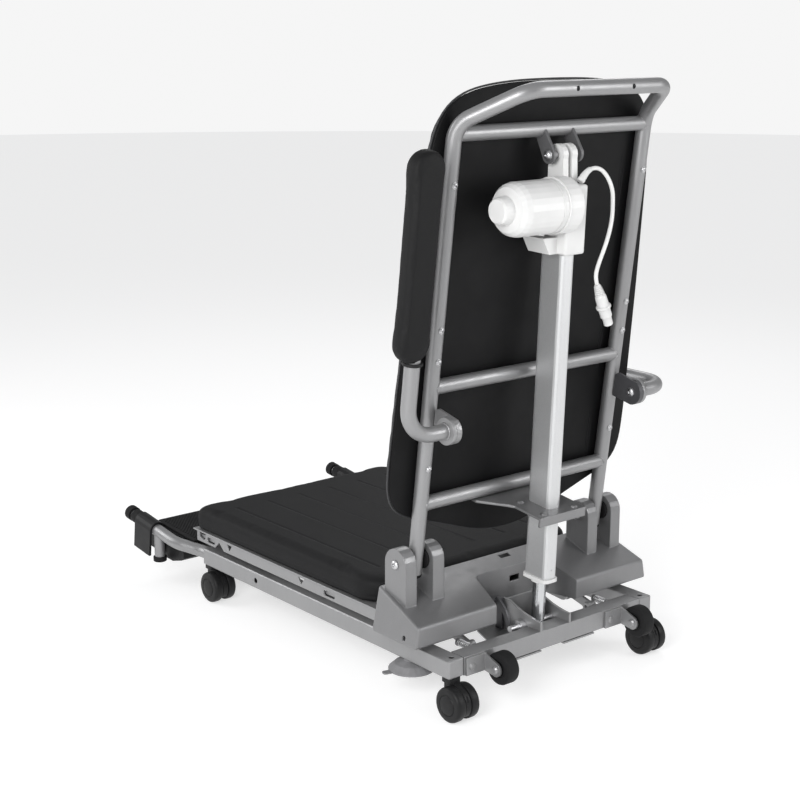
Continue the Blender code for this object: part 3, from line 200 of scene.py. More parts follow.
class Look:
    """A node material whose patterns run in the object's own coordinates, in metres."""

    def __init__(self, name, roughness, metallic=0.0, specular=0.5, coat=0.0, coat_roughness=0.2):
        self.material = bpy.data.materials.new(name)
        self.material.use_nodes = True
        self.tree = self.material.node_tree
        self.shader = self.tree.nodes["Principled BSDF"]
        for socket, value in (("Roughness", roughness), ("Metallic", metallic), ("Specular IOR Level", specular),
                              ("Coat Weight", coat), ("Coat Roughness", coat_roughness)):
            self.shader.inputs[socket].default_value = value
        self.place = self.node("ShaderNodeTexCoord").outputs["Object"]

    def node(self, kind, **settings):
        made = self.tree.nodes.new(kind)
        for key, value in settings.items():
            if key in made.inputs:
                made.inputs[key].default_value = value
            else:
                setattr(made, key, value)
        return made

    def link(self, output, to):
        self.tree.links.new(output, to)

    def stretched(self, scale):
        mapping = self.node("ShaderNodeMapping")
        mapping.inputs["Scale"].default_value = scale
        self.link(self.place, mapping.inputs["Vector"])
        return mapping.outputs["Vector"]

    def noise(self, scale, detail=3.0, roughness=0.5, vector=None):
        made = self.node("ShaderNodeTexNoise", Scale=scale, Detail=detail, Roughness=roughness)
        self.link(vector or self.place, made.inputs["Vector"])
        return made.outputs["Fac"]

    def cells(self, scale, feature="DISTANCE_TO_EDGE", vector=None):
        made = self.node("ShaderNodeTexVoronoi", feature=feature)
        made.inputs["Scale"].default_value = scale
        self.link(vector or self.place, made.inputs["Vector"])
        return made.outputs["Distance"]

    def spread(self, value, low, high, at=(0.3, 0.7)):
        """value, taken from the range at to the range low to high."""
        made = self.node("ShaderNodeMapRange")
        for socket, number in zip(("From Min", "From Max", "To Min", "To Max"), (*at, low, high)):
            made.inputs[socket].default_value = number
        self.link(value, made.inputs["Value"])
        return made.outputs["Result"]

    def colours(self, value, stops):
        ramp = self.node("ShaderNodeValToRGB")
        points = ramp.color_ramp.elements
        while len(points) < len(stops):
            points.new(0.5)
        for point, (at, colour) in zip(points, stops):
            point.position = at
            point.color = (*colour, 1)
        self.link(value, ramp.inputs["Fac"])
        return ramp.outputs["Color"]

    def paint(self, value):
        self.link(value, self.shader.inputs["Base Color"])

    def rough(self, value):
        self.link(value, self.shader.inputs["Roughness"])

    def bumps(self, *layers, rounding=0.0):
        """Layers are (height, distance in metres, strength). rounding softens hard edges by that radius."""
        normal = None
        if rounding:
            normal = self.node("ShaderNodeBevel", samples=4, Radius=rounding).outputs["Normal"]
        for height, distance, strength in layers:
            made = self.node("ShaderNodeBump", Distance=distance, Strength=strength)
            self.link(height, made.inputs["Height"])
            if normal:
                self.link(normal, made.inputs["Normal"])
            normal = made.outputs["Normal"]
        self.link(normal, self.shader.inputs["Normal"])


def near(colour, factor):
    return tuple(min(1.0, c * factor) for c in colour)


def satin_paint(name, colour, metallic=0.62, roughness=0.40, rounding=0.0012):
    """Silver powder coat: fine metallic grain, a slight orange peel and faint handling marks."""
    look = Look(name, roughness, metallic, coat=0.12, coat_roughness=0.35)
    grain = look.noise(1900, 2, 0.6)
    cloud = look.noise(7, 3)
    marks = look.noise(60, 4, 0.65, look.stretched((1, 1, 0.25)))
    mixed = look.node("ShaderNodeMath", operation="MULTIPLY_ADD")
    look.link(cloud, mixed.inputs[0])
    mixed.inputs[1].default_value = 0.45
    look.link(look.spread(grain, 0.0, 0.55, (0.25, 0.75)), mixed.inputs[2])
    look.paint(look.colours(mixed.outputs[0], ((0.1, near(colour, 0.86)), (0.5, colour), (0.95, near(colour, 1.16)))))
    look.rough(look.spread(marks, roughness - 0.05, roughness + 0.07, (0.35, 0.7)))
    look.bumps((look.noise(420, 2), 0.00012, 0.16), (grain, 0.00006, 0.22), rounding=rounding)
    return look.material


def plated(name, colour, roughness=0.26):
    """Zinc plate: small bright crystals and slight dulling."""
    look = Look(name, roughness, 1.0)
    spangle = look.cells(520, "F1")
    look.paint(look.colours(spangle, ((0.0, near(colour, 0.93)), (0.6, colour), (1.0, near(colour, 1.06)))))
    look.rough(look.spread(look.noise(160, 3), roughness - 0.04, roughness + 0.08))
    look.bumps((look.noise(900, 2), 0.00002, 0.12), rounding=0.0005)
    return look.material


def ground_steel(name, colour):
    """A ground and polished rod: fine rings round it and a thin film."""
    look = Look(name, 0.20, 1.0, coat=0.1)
    rings = look.noise(60, 2, 0.5, look.stretched((1, 1, 60)))
    look.paint(look.colours(look.noise(9, 3), ((0.2, near(colour, 0.9)), (0.8, near(colour, 1.06)))))
    look.rough(look.spread(rings, 0.15, 0.27))
    look.bumps((rings, 0.00003, 0.25), rounding=0.0006)
    return look.material


def blasted_aluminium(name, colour):
    """Clear anodised extrusion: a blasted grain and faint die lines along it."""
    look = Look(name, 0.42, 0.78)
    grain = look.noise(1500, 3, 0.7)
    lines = look.noise(900, 2, 0.5, look.stretched((1, 1, 0.004)))
    look.paint(look.colours(grain, ((0.25, near(colour, 0.80)), (0.55, colour), (0.8, near(colour, 1.12)))))
    look.rough(look.spread(grain, 0.36, 0.5))
    look.bumps((grain, 0.00012, 0.28), (lines, 0.00004, 0.25), rounding=0.0008)
    return look.material


def moulded(name, colour, roughness=0.45, grain=0.00006, coat=0.0, rounding=0.0009, specular=0.5):
    """Injection-moulded plastic with a spark-eroded texture, a little glossier where it is handled."""
    look = Look(name, roughness, specular=specular, coat=coat, coat_roughness=0.25)
    texture = look.noise(1300, 2, 0.6)
    broad = look.noise(18, 3)
    look.paint(look.colours(broad, ((0.2, near(colour, 0.93)), (0.8, near(colour, 1.06)))))
    look.rough(look.spread(broad, roughness - 0.06, roughness + 0.06))
    look.bumps((texture, grain, 0.5), rounding=rounding)
    return look.material


def rubbery(name, colour, roughness=0.72, rounding=0.001):
    """Rubber: matt, lightly pitted, with a dusty bloom."""
    look = Look(name, roughness, specular=0.25)
    bloom = look.noise(45, 4, 0.6)
    look.paint(look.colours(bloom, ((0.25, colour), (0.75, near(colour, 1.5)))))
    look.rough(look.spread(bloom, roughness - 0.08, roughness + 0.1))
    look.bumps((look.noise(700, 3), 0.0001, 0.4), rounding=rounding)
    return look.material


def upholstery(name, colour, cell=780, roughness=0.48, depth=0.00016):
    """Coated fabric with a leather grain: pebbles parted by fine creases, softly glossy on their tops."""
    look = Look(name, roughness, specular=0.22)
    warped = look.node("ShaderNodeVectorMath", operation="MULTIPLY_ADD")
    soft = look.node("ShaderNodeTexNoise", Scale=260.0, Detail=2.0)
    look.link(look.place, soft.inputs["Vector"])
    look.link(soft.outputs["Color"], warped.inputs[0])
    warped.inputs[1].default_value = (0.0016, 0.0016, 0.0016)
    look.link(look.place, warped.inputs[2])
    crease = look.spread(look.cells(cell, vector=warped.outputs["Vector"]), 0.0, 1.0, (0.0, 0.22))
    broad = look.noise(11, 3)
    look.paint(look.colours(broad, ((0.2, near(colour, 0.85)), (0.8, near(colour, 1.25)))))
    look.rough(look.spread(crease, roughness + 0.14, roughness, (0.0, 1.0)))
    look.bumps((look.noise(35, 3), 0.0012, 0.12), (crease, depth, 0.55))
    return look.material


SILVER = (0.29, 0.29, 0.294)
LOOKS = {
    "silver_paint": satin_paint("silver_powder_coat", SILVER),
    "dark_paint": satin_paint("dark_grey_paint", (0.075, 0.075, 0.08), 0.35, 0.46),
    "zinc": plated("zinc_plate", (0.60, 0.60, 0.61), 0.36),
    "rod_steel": ground_steel("ground_steel", (0.60, 0.61, 0.62)),
    "anodised": blasted_aluminium("blasted_anodised", (0.66, 0.665, 0.67)),
    "white_plastic": moulded("white_enamel", (0.66, 0.66, 0.655), 0.38, 0.00003, coat=0.15),
    "black_plastic": moulded("black_moulded", (0.0080, 0.0080, 0.0085), 0.48, specular=0.26),
    "black_rubber": rubbery("black_rubber", (0.0060, 0.0060, 0.0064)),
    "grey_rubber": rubbery("grey_rubber", (0.17, 0.17, 0.175), 0.6),
    "black_vinyl": upholstery("black_vinyl", (0.0055, 0.0055, 0.0060), 780, 0.55),
    "black_pad": upholstery("black_pad_skin", (0.0048, 0.0048, 0.0052), 950, 0.56, 0.00010),
}
# Painted shade: a near-black matt material for thin marks laid in holes and slots, standing in for the shade inside
# them.
PAINTED_SHADE = rubbery("painted_recess_shade", (0.008, 0.008, 0.009), 0.85, 0)
THREAD = moulded("black_thread", (0.030, 0.030, 0.032), 0.6, 0.0001, rounding=0)
# Painted shade: a darker copy of the silver paint, with wider edge rounding, for the rear housing and the guide plate;
# its darker tone stands in for the shade on them.
SHADED_SILVER = satin_paint("silver_with_painted_shade", (0.23, 0.23, 0.234), rounding=0.003)
BOARD = moulded("black_backing", (0.0042, 0.0042, 0.0046), 0.6, 0.00012, rounding=0.0008, specular=0.18)
CAST_GREY = satin_paint("cast_bracket_grey", (0.13, 0.13, 0.134), 0.4, 0.45)

NODE_LOOKS = {
    "dark_paint": ("latch_lever", "arm_bracket_right"),
    "zinc": ("lower_pin", "ear_bolt_left", "ear_bolt_right", "upper_pin", "armrest_hinge_bolt_left",
             "armrest_hinge_bolt_right"),
    "rod_steel": ("actuator_rod",),
    "anodised": ("actuator_profile",),
    "white_plastic": ("profile_end_cap", "gear_housing", "motor_can", "lead_gland"),
    "black_plastic": ("footboard_hook_left", "footboard_hook_right", "footboard"),
    "black_rubber": ("foot_tube_knob_left", "foot_tube_knob_right", "transport_wheel_left", "transport_wheel_right",
                     "tread_mat", "back_frame_plug_left", "back_frame_plug_right"),
    "grey_rubber": ("suction_foot",),
}


def dress_nodes():
    chosen = {name: LOOKS[look] for look, names in NODE_LOOKS.items() for name in names}
    for name, node in NODES.items():
        # The rear housing and the guide plate take the darker copy of the silver paint, whose darker tone is painted
        # shade.
        look = SHADED_SILVER if name in ("rear_housing", "guide_plate") else chosen.get(name, LOOKS["silver_paint"])
        if not node.material_slots:
            node.data.materials.append(look)
        for slot in node.material_slots:
            slot.material = look


dress_nodes()


# ---------------------------------------------------------------- shapes

def axes(origin, u, v, w):
    matrix = Matrix((u, v, w)).transposed().to_4x4()
    matrix.translation = origin
    return matrix


SIDE_VIEW = axes((0, 0, 0), (0, 1, 0), (0, 0, 1), (1, 0, 0))
PLAN_VIEW = axes((0, 0, 0), (1, 0, 0), (0, 1, 0), (0, 0, 1))


def along(origin, direction):
    w = Vector(direction).normalized()
    helper = Vector((1, 0, 0)) if abs(w.x) < 0.9 else Vector((0, 0, 1))
    v = w.cross(helper).normalized()
    return axes(origin, v.cross(w), v, w)


def arc(centre, radius, start, end, steps):
    angles = [math.radians(start + (end - start) * i / steps) for i in range(steps + 1)]
    return [(centre[0] + radius * math.cos(a), centre[1] + radius * math.sin(a)) for a in angles]


def rounded_rectangle(half_u, half_v, radius, steps=4, centre=(0, 0)):
    points = []
    for u, v, start in ((1, 1, 0), (-1, 1, 90), (-1, -1, 180), (1, -1, 270)):
        corner = (centre[0] + u * (half_u - radius), centre[1] + v * (half_v - radius))
        points += arc(corner, radius, start, start + 90, steps)
    return points


def mirrored_outline(points):
    return points + [(-u, v) for u, v in reversed(points)]


def mirrored_profile(points):
    return points + [(radius, -height) for radius, height in reversed(points)]


def new():
    return bmesh.new()


def bridge(bm, one, two):
    """The strip of faces between two rings, either of which may be a single point."""
    count = max(len(one), len(two))
    for i in range(count):
        j = (i + 1) % count
        corners = [one[i % len(one)], one[j % len(one)], two[j % len(two)], two[i % len(two)]]
        bm.faces.new(list(dict.fromkeys(corners)))


def add_slab(bm, outline, low, high, frame=None):
    frame = frame or Matrix.Identity(4)
    ends = [[bm.verts.new(frame @ Vector((u, v, w))) for u, v in outline] for w in (low, high)]
    bm.faces.new(ends[0])
    bm.faces.new(ends[1])
    bridge(bm, *ends)
    return bm


def add_turned(bm, profile, frame, sides=32):
    rings = []
    for radius, height in profile:
        if radius == 0:
            rings.append([bm.verts.new(frame @ Vector((0, 0, height)))])
            continue
        turns = [2 * math.pi * i / sides for i in range(sides)]
        rings.append([bm.verts.new(frame @ Vector((radius * math.cos(t), radius * math.sin(t), height)))
                      for t in turns])
    pairs = list(zip(rings, rings[1:])) + ([(rings[-1], rings[0])] if profile[0][0] > 0 else [])
    for one, two in pairs:
        bridge(bm, one, two)
    return bm


def add_bar(bm, radius, low, high, frame, sides=24):
    """A plain round bar."""
    return add_turned(bm, [(0, low), (radius, low), (radius, high), (0, high)], frame, sides)


def add_swept(bm, path, radii, sides=16, closed=False):
    """A round bar along a path, whose radius may change from point to point."""
    path = [Vector(p) for p in path]
    count = len(path)
    tangents = []
    for i in range(count):
        before = path[(i - 1) % count] if closed else path[max(i - 1, 0)]
        after = path[(i + 1) % count] if closed else path[min(i + 1, count - 1)]
        tangents.append((after - before).normalized())
    side = along((0, 0, 0), tangents[0]).to_3x3().col[0]
    rings = []
    for i, point in enumerate(path):
        tangent = tangents[i]
        side = (side - tangent * side.dot(tangent)).normalized()
        up = tangent.cross(side)
        radius = radii if isinstance(radii, float) else radii[i]
        rings.append([bm.verts.new(point + radius * (math.cos(a) * side + math.sin(a) * up))
                      for a in (2 * math.pi * k / sides for k in range(sides))])
    pairs = list(zip(rings, rings[1:])) + ([(rings[-1], rings[0])] if closed else [])
    for one, two in pairs:
        bridge(bm, one, two)
    if not closed:
        bm.faces.new(rings[0])
        bm.faces.new(rings[-1])
    return bm


def piece(name, bm, look, body, replaces=(), smooth=35, bevel=0.0, segments=3):
    """A visible piece from a mesh drawn in the chassis frame, riding on a body."""
    bmesh.ops.recalc_face_normals(bm, faces=bm.faces)
    bmesh.ops.translate(bm, verts=bm.verts, vec=SHIFT)
    return placed(name, as_mesh(name, bm), look, body, replaces, smooth, bevel, segments)


def placed(name, mesh, look, body, replaces=(), smooth=35, bevel=0.0, segments=3):
    mesh.materials.clear()
    mesh.materials.append(LOOKS[look] if isinstance(look, str) else look)
    mesh.shade_smooth()
    if smooth:
        mesh.set_sharp_from_angle(angle=math.radians(smooth))
    obj = linked(name, mesh)
    if bevel:
        modifier = obj.modifiers.new("Bevel", "BEVEL")
        modifier.width = bevel
        modifier.segments = segments
        modifier.limit_method = "ANGLE"
        modifier.angle_limit = math.radians(35)
        modifier.harden_normals = True
    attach(obj, body)
    if replaces:
        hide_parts(*replaces)
    return obj


def both_sides():
    return (("left", 1), ("right", -1))


# ---------------------------------------------------------------- the lead, its relief and its connector

LEAD_RADIUS = 0.0035
LEAD_EXIT = Vector((-0.0180, 0.0180, 0.8950))
LEAD_ROUTE = (
    (-0.0320, 0.0182, 0.9105), (-0.0635, 0.0190, 0.9120), (-0.0915, 0.0188, 0.8770), (-0.0930, 0.0180, 0.8505),
    (-0.0940, 0.0175, 0.8245), (-0.0865, 0.0167, 0.7935), (-0.0755, 0.0160, 0.7680), (-0.0570, 0.0150, 0.7320),
    (-0.0640, 0.0146, 0.7130))
CONNECTOR_END = Vector((-0.1010, 0.0140, 0.6300))
RELIEF_LENGTH = 0.024


def smooth_route(points, step):
    """Points at even steps along a cubic B-spline, which starts and ends at the first and last of its controls."""
    knots = [2 * Vector(points[0]) - Vector(points[1])] + [Vector(p) for p in points]
    knots.append(2 * knots[-1] - knots[-2])
    fine = []
    for a, b, c, d in zip(knots, knots[1:], knots[2:], knots[3:]):
        for i in range(12):
            t = i / 12
            weights = ((1 - t) ** 3, 3 * t ** 3 - 6 * t * t + 4, -3 * t ** 3 + 3 * t * t + 3 * t + 1, t ** 3)
            fine.append(sum((p * w for p, w in zip((a, b, c, d), weights)), Vector()) / 6)
    fine.append(knots[-2])
    lengths = [0.0]
    for a, b in zip(fine, fine[1:]):
        lengths.append(lengths[-1] + (b - a).length)
    count = max(2, round(lengths[-1] / step))
    even = []
    for k in range(count + 1):
        want = lengths[-1] * k / count
        i = max(next((n for n, s in enumerate(lengths) if s >= want - 1e-12), len(fine) - 1), 1)
        share = (want - lengths[i - 1]) / max(lengths[i] - lengths[i - 1], 1e-9)
        even.append(fine[i - 1].lerp(fine[i], min(share, 1.0)))
    return even


def lead():
    route = smooth_route([LEAD_EXIT, *LEAD_ROUTE], 0.004)
    curve = bpy.data.curves.new("lead_sheath", "CURVE")
    curve.dimensions = "3D"
    curve.bevel_depth = LEAD_RADIUS
    curve.bevel_resolution = 7
    curve.use_fill_caps = True
    spline = curve.splines.new("POLY")
    spline.points.add(len(route) - 1)
    for point, at in zip(spline.points, route):
        point.co = (*(at + SHIFT), 1)
    spline.use_smooth = True
    curve.materials.append(moulded("white_sheath", (0.70, 0.70, 0.69), 0.42, 0.00002, rounding=0))
    cable = linked("lead_sheath", curve)
    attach(cable, "seat_and_back")
    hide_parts("lead")

    fine = smooth_route([LEAD_EXIT, *LEAD_ROUTE], 0.0008)
    steps = round(RELIEF_LENGTH / 0.0008)
    radii = []
    for i in range(steps + 1):
        share = i / steps
        rib = 0.0005 if (i % 4) < 2 and 0.12 < share < 0.95 else 0.0
        radii.append(0.0060 - 0.0020 * share + rib)
    relief = piece("lead_strain_relief", add_swept(new(), fine[:steps + 1], radii, 24), "white_plastic",
                   "seat_and_back", smooth=50)

    out = (fine[3] - fine[0]).normalized()
    collar = [(0, -0.0070), (0.0056, -0.0070), (0.0066, -0.0040), (0.0066, -0.0014), (0.0058, 0.0004), (0, 0.0006)]
    gland = piece("lead_gland_collar", add_turned(new(), collar, along(LEAD_EXIT, out), 36), "white_plastic",
                  "seat_and_back", replaces=("lead_gland",), smooth=40)

    down = (CONNECTOR_END - Vector(LEAD_ROUTE[-1])).normalized()
    profile = [(0, 0.0005), (0.0046, 0.0005), (0.0052, 0.0020)]
    for i in range(5):
        at = 0.0030 + i * 0.0036
        radius = 0.0058 + i * 0.0006
        profile += [(radius - 0.0009, at), (radius + 0.0005, at + 0.0005), (radius + 0.0006, at + 0.0021),
                    (radius - 0.0008, at + 0.0026)]
    profile += [(0.0084, 0.0212), (0.0095, 0.0228), (0.0100, 0.0260), (0.0104, 0.0415), (0.0124, 0.0420),
                (0.0130, 0.0428), (0.0130, 0.0460), (0.0124, 0.0468), (0.0104, 0.0472), (0.0102, 0.0632),
                (0.0088, 0.0642), (0.0082, 0.0650), (0.0080, 0.0792), (0.0070, 0.0800), (0.0055, 0.0800),
                (0.0050, 0.0770), (0, 0.0770)]
    connector = piece("lead_plug", add_turned(new(), profile, along(LEAD_ROUTE[-1], down), 36), "white_plastic",
                      "seat_and_back", replaces=("lead_connector",), smooth=40)


lead()


# ---------------------------------------------------------------- soft pieces

def inset_ring(outline, distance):
    """The outline drawn in by a distance, along each corner's bisector."""
    count = len(outline)
    area = sum(outline[i][0] * outline[(i + 1) % count][1] - outline[(i + 1) % count][0] * outline[i][1]
               for i in range(count))
    turn = 1 if area > 0 else -1
    made = []
    for i in range(count):
        before, at, after = (Vector(outline[k % count]) for k in (i - 1, i, i + 1))
        one = (at - before).normalized()
        two = (after - at).normalized()
        normal = Vector((-(one.y + two.y), one.x + two.x)) * turn
        normal = normal.normalized() if normal.length > 1e-9 else Vector((-one.y, one.x)) * turn
        scale = max(0.5, normal.dot(Vector((-one.y, one.x)) * turn))
        made.append(at + normal * distance / scale)
    return [tuple(p) for p in made]


def add_pillow(bm, outline, low, high, edge_low, edge_high, frame, steps=4):
    """A slab with rounded rims: rings from the bottom's inset outline, out round the rims, to the top's."""
    rings = []
    for k in range(steps + 1):
        a = math.pi / 2 * k / steps
        rings.append((edge_low * (1 - math.sin(a)), low + edge_low * (1 - math.cos(a))))
    for k in range(steps + 1):
        a = math.pi / 2 * k / steps
        rings.append((edge_high * (1 - math.cos(a)), high - edge_high * (1 - math.sin(a))))
    loops = [[bm.verts.new(frame @ Vector((u, v, w))) for u, v in inset_ring(outline, inset)] for inset, w in rings]
    bm.faces.new(loops[0])
    bm.faces.new(loops[-1])
    for one, two in zip(loops, loops[1:]):
        bridge(bm, one, two)
    return bm


def evaluated(obj):
    depsgraph = bpy.context.evaluated_depsgraph_get()
    return bpy.data.meshes.new_from_object(obj.evaluated_get(depsgraph), depsgraph=depsgraph)


def swap(obj, mesh):
    obj.modifiers.clear()
    obj.data = mesh


def coordinates(mesh):
    co = np.zeros(len(mesh.vertices) * 3)
    mesh.vertices.foreach_get("co", co)
    return co.reshape(-1, 3)


CLOTH_FRAMES = 20
CLOTH = dict(quality=5, mass=0.25, tension_stiffness=15, compression_stiffness=15, bending_stiffness=0.6,
             use_pressure=True, uniform_pressure_force=4.0)


def inflated(name, bm, voxel, cap):
    """Remeshes a closed form, blows it up a little as cloth, caps each point's move and smooths it once."""
    bmesh.ops.recalc_face_normals(bm, faces=bm.faces)
    obj = linked(name, as_mesh(name, bm))
    remesh = obj.modifiers.new("Remesh", "REMESH")
    remesh.mode = "VOXEL"
    remesh.voxel_size = voxel
    bpy.context.view_layer.update()
    swap(obj, evaluated(obj))
    smooth = obj.modifiers.new("Smooth", "SMOOTH")
    smooth.factor = 0.5
    smooth.iterations = 2
    bpy.context.view_layer.update()
    swap(obj, evaluated(obj))
    before = coordinates(obj.data)
    cloth = obj.modifiers.new("Cloth", "CLOTH")
    for key, value in CLOTH.items():
        setattr(cloth.settings, key, value)
    cloth.settings.effector_weights.gravity = 0
    cloth.collision_settings.use_collision = False
    cloth.point_cache.frame_start = 1
    cloth.point_cache.frame_end = CLOTH_FRAMES
    scene = bpy.context.scene
    for step in range(1, CLOTH_FRAMES + 1):
        scene.frame_set(step)
    result = evaluated(obj)
    scene.frame_set(1)
    after = coordinates(result)
    move = after - before
    size = np.linalg.norm(move, axis=1, keepdims=True)
    move *= np.minimum(1.0, cap / np.maximum(size, 1e-9))
    result.vertices.foreach_set("co", (before + move).ravel())
    swap(obj, result)
    subdivide = obj.modifiers.new("Subdivision", "SUBSURF")
    subdivide.levels = subdivide.render_levels = 1
    bpy.context.view_layer.update()
    swap(obj, evaluated(obj))
    made = obj.data.copy()
    made.name = name
    bpy.data.objects.remove(obj)
    return made


def reshaped(mesh, frame, change):
    """Moves the mesh's points by change(u, v, w, normals), which works on arrays in the frame's coordinates."""
    co = coordinates(mesh)
    normals = np.zeros(len(mesh.vertices) * 3)
    mesh.vertices.foreach_get("normal", normals)
    turn = np.array(frame.to_3x3())
    origin = np.array(frame.translation)
    local = (co - origin) @ turn
    facing = normals.reshape(-1, 3) @ turn
    moved = change(local[:, 0].copy(), local[:, 1].copy(), local[:, 2].copy(), facing)
    result = np.stack(moved, 1) @ turn.T + origin
    mesh.vertices.foreach_set("co", result.ravel())
    mesh.update()


def shifted(mesh):
    mesh.transform(Matrix.Translation(SHIFT))
    return mesh


def groove(distance, width):
    return np.exp(-(distance / width) ** 2)


# The seat cushion
PAN_TOP = 0.1435
SEAT_TOP = 0.187
SEAT_HALF = 0.2570
SEAT_REAR, SEAT_FRONT = -0.188, -0.799
SEAM_X = (0.0385, 0.1155, 0.1925)
SEAM_SPAN = (-0.716, -0.260)
STITCH = ((-0.0022, -0.0004), (-0.0012, 0.0003), (0.0012, 0.0003), (0.0022, -0.0004))


def seat_outline(inset=0.0):
    half = SEAT_HALF - inset
    rear = arc((half - 0.065, SEAT_REAR - inset - 0.065), 0.065, 90, 0, 12)
    front = arc((half - 0.030, SEAT_FRONT + inset + 0.030), 0.030, 0, -90, 8)
    return mirrored_outline(rear + front)


def seat_cushion():
    low = PAN_TOP + 0.0004
    bm = add_pillow(new(), seat_outline(0.002), low, SEAT_TOP - 0.0030, 0.003, 0.011, PLAN_VIEW)
    mesh = inflated("seat_cushion_cover", bm, 0.005, 0.006)
    lines = [side * x for x in SEAM_X for side in (1, -1)]
    front, rear = SEAM_SPAN

    def shape(u, v, w, facing):
        top = np.clip((w - low) / (SEAT_TOP - low), 0, 1) * np.clip(facing[:, 2], 0, 1)
        past = np.maximum(np.maximum(front - v, v - rear), 0)
        distance = np.min([np.hypot(u - x, past) for x in lines], axis=0)
        puff = 0.0008 * (1 - np.exp(-(distance / 0.014) ** 1.4))
        crown = 0.0018 * (1 - (u / SEAT_HALF) ** 2) * (1 - ((v + 0.49) / 0.30) ** 2)
        w = w + top * (puff + np.maximum(crown, 0) - 0.0020 * groove(distance, 0.0026))
        waist = groove(w - (low + 0.011), 0.0022)
        u = u - facing[:, 0] * 0.0012 * waist
        v = v - facing[:, 1] * 0.0012 * waist
        w = np.clip(w, low, SEAT_TOP + 0.0035)
        u = np.clip(u, -SEAT_HALF - 0.003, SEAT_HALF + 0.003)
        v = np.clip(v, SEAT_FRONT - 0.003, SEAT_REAR + 0.003)
        return u, v, w

    reshaped(mesh, PLAN_VIEW, shape)
    cushion = placed("seat_cushion_cover", shifted(mesh), "black_vinyl", "seat_and_back",
                     replaces=("seat_cushion",), smooth=0)
    heights = surface_heights(mesh)
    stitches = new()
    for x in lines:
        count = round((rear - front) / 0.0062)
        for i in range(count):
            y = front + (i + 0.5) * (rear - front) / count
            z = heights(x, y + REAR_Y) + 0.0001
            path = [(x, y + at, z + rise) for at, rise in STITCH]
            add_swept(stitches, path, [0.0003, 0.00045, 0.00045, 0.0003], 6)
    thread = piece("seat_cushion_stitching", stitches, THREAD, "seat_and_back", smooth=0)
    thread.parent = cushion
    thread.matrix_parent_inverse = Matrix.Identity(4)


def surface_heights(mesh):
    """A function from (x, y) to the height of the mesh's upper surface."""
    tree = BVHTree.FromPolygons([v.co[:] for v in mesh.vertices], [p.vertices[:] for p in mesh.polygons])

    def height(x, y):
        hit = tree.ray_cast(Vector((x, y, 0.5)), Vector((0, 0, -1)))
        return hit[0].z if hit[0] else SEAT_TOP
    return height


seat_cushion()


# The back pad
BACK_SLOPE = 0.1265
BACK_TUBE = 0.013
BOARD_THICKNESS = 0.004
PAD_THICKNESS = 0.026
SLOT_X = 0.190


def back_y(z):
    return -0.042 + (z - 0.896) * BACK_SLOPE


def pad_plane():
    up = Vector((0, BACK_SLOPE, 1)).normalized()
    forward = Vector((0, -1, BACK_SLOPE)).normalized()
    origin = Vector((0, back_y(0.640), 0.640)) + forward * (BACK_TUBE + 0.0005)
    return axes(origin, (-1, 0, 0), up, forward)


def pad_outline():
    top = [(0.0, 0.4120), (0.075, 0.4110), (0.130, 0.4070), (0.165, 0.4015), (0.190, 0.3955), (0.210, 0.3860),
           (0.2265, 0.3720), (0.2385, 0.3520), (0.2455, 0.3300), (0.2500, 0.3000)]
    side = [(0.2560, 0.240), (0.2680, 0.040), (0.2780, -0.200)]
    bottom = arc((0.2220, -0.262), 0.056, -5, -85, 8)
    tongue = [(0.175, -0.336), (0.130, -0.352), (0.085, -0.369), (0.040, -0.3795)]
    half = top + side + bottom + tongue
    return half + [(0.0, -0.3825)] + [(-u, v) for u, v in reversed(half[1:])]


def rounded_line(points, step):
    """The closed outline resampled at even steps, through a smooth curve."""
    loop = list(points) + [points[0]]
    even = []
    total = 0.0
    for a, b in zip(loop, loop[1:]):
        total += math.dist(a, b)
    count = round(total / step)
    want = 0.0
    walked = 0.0
    for a, b in zip(loop, loop[1:]):
        length = math.dist(a, b)
        while want <= walked + length and len(even) < count:
            share = (want - walked) / length
            even.append(Vector((a[0] + (b[0] - a[0]) * share, a[1] + (b[1] - a[1]) * share)))
            want += total / count
        walked += length
    for _ in range(6):
        even = [(even[i - 1] + even[i] * 2 + even[(i + 1) % len(even)]) / 4 for i in range(len(even))]
    return [tuple(p) for p in even]


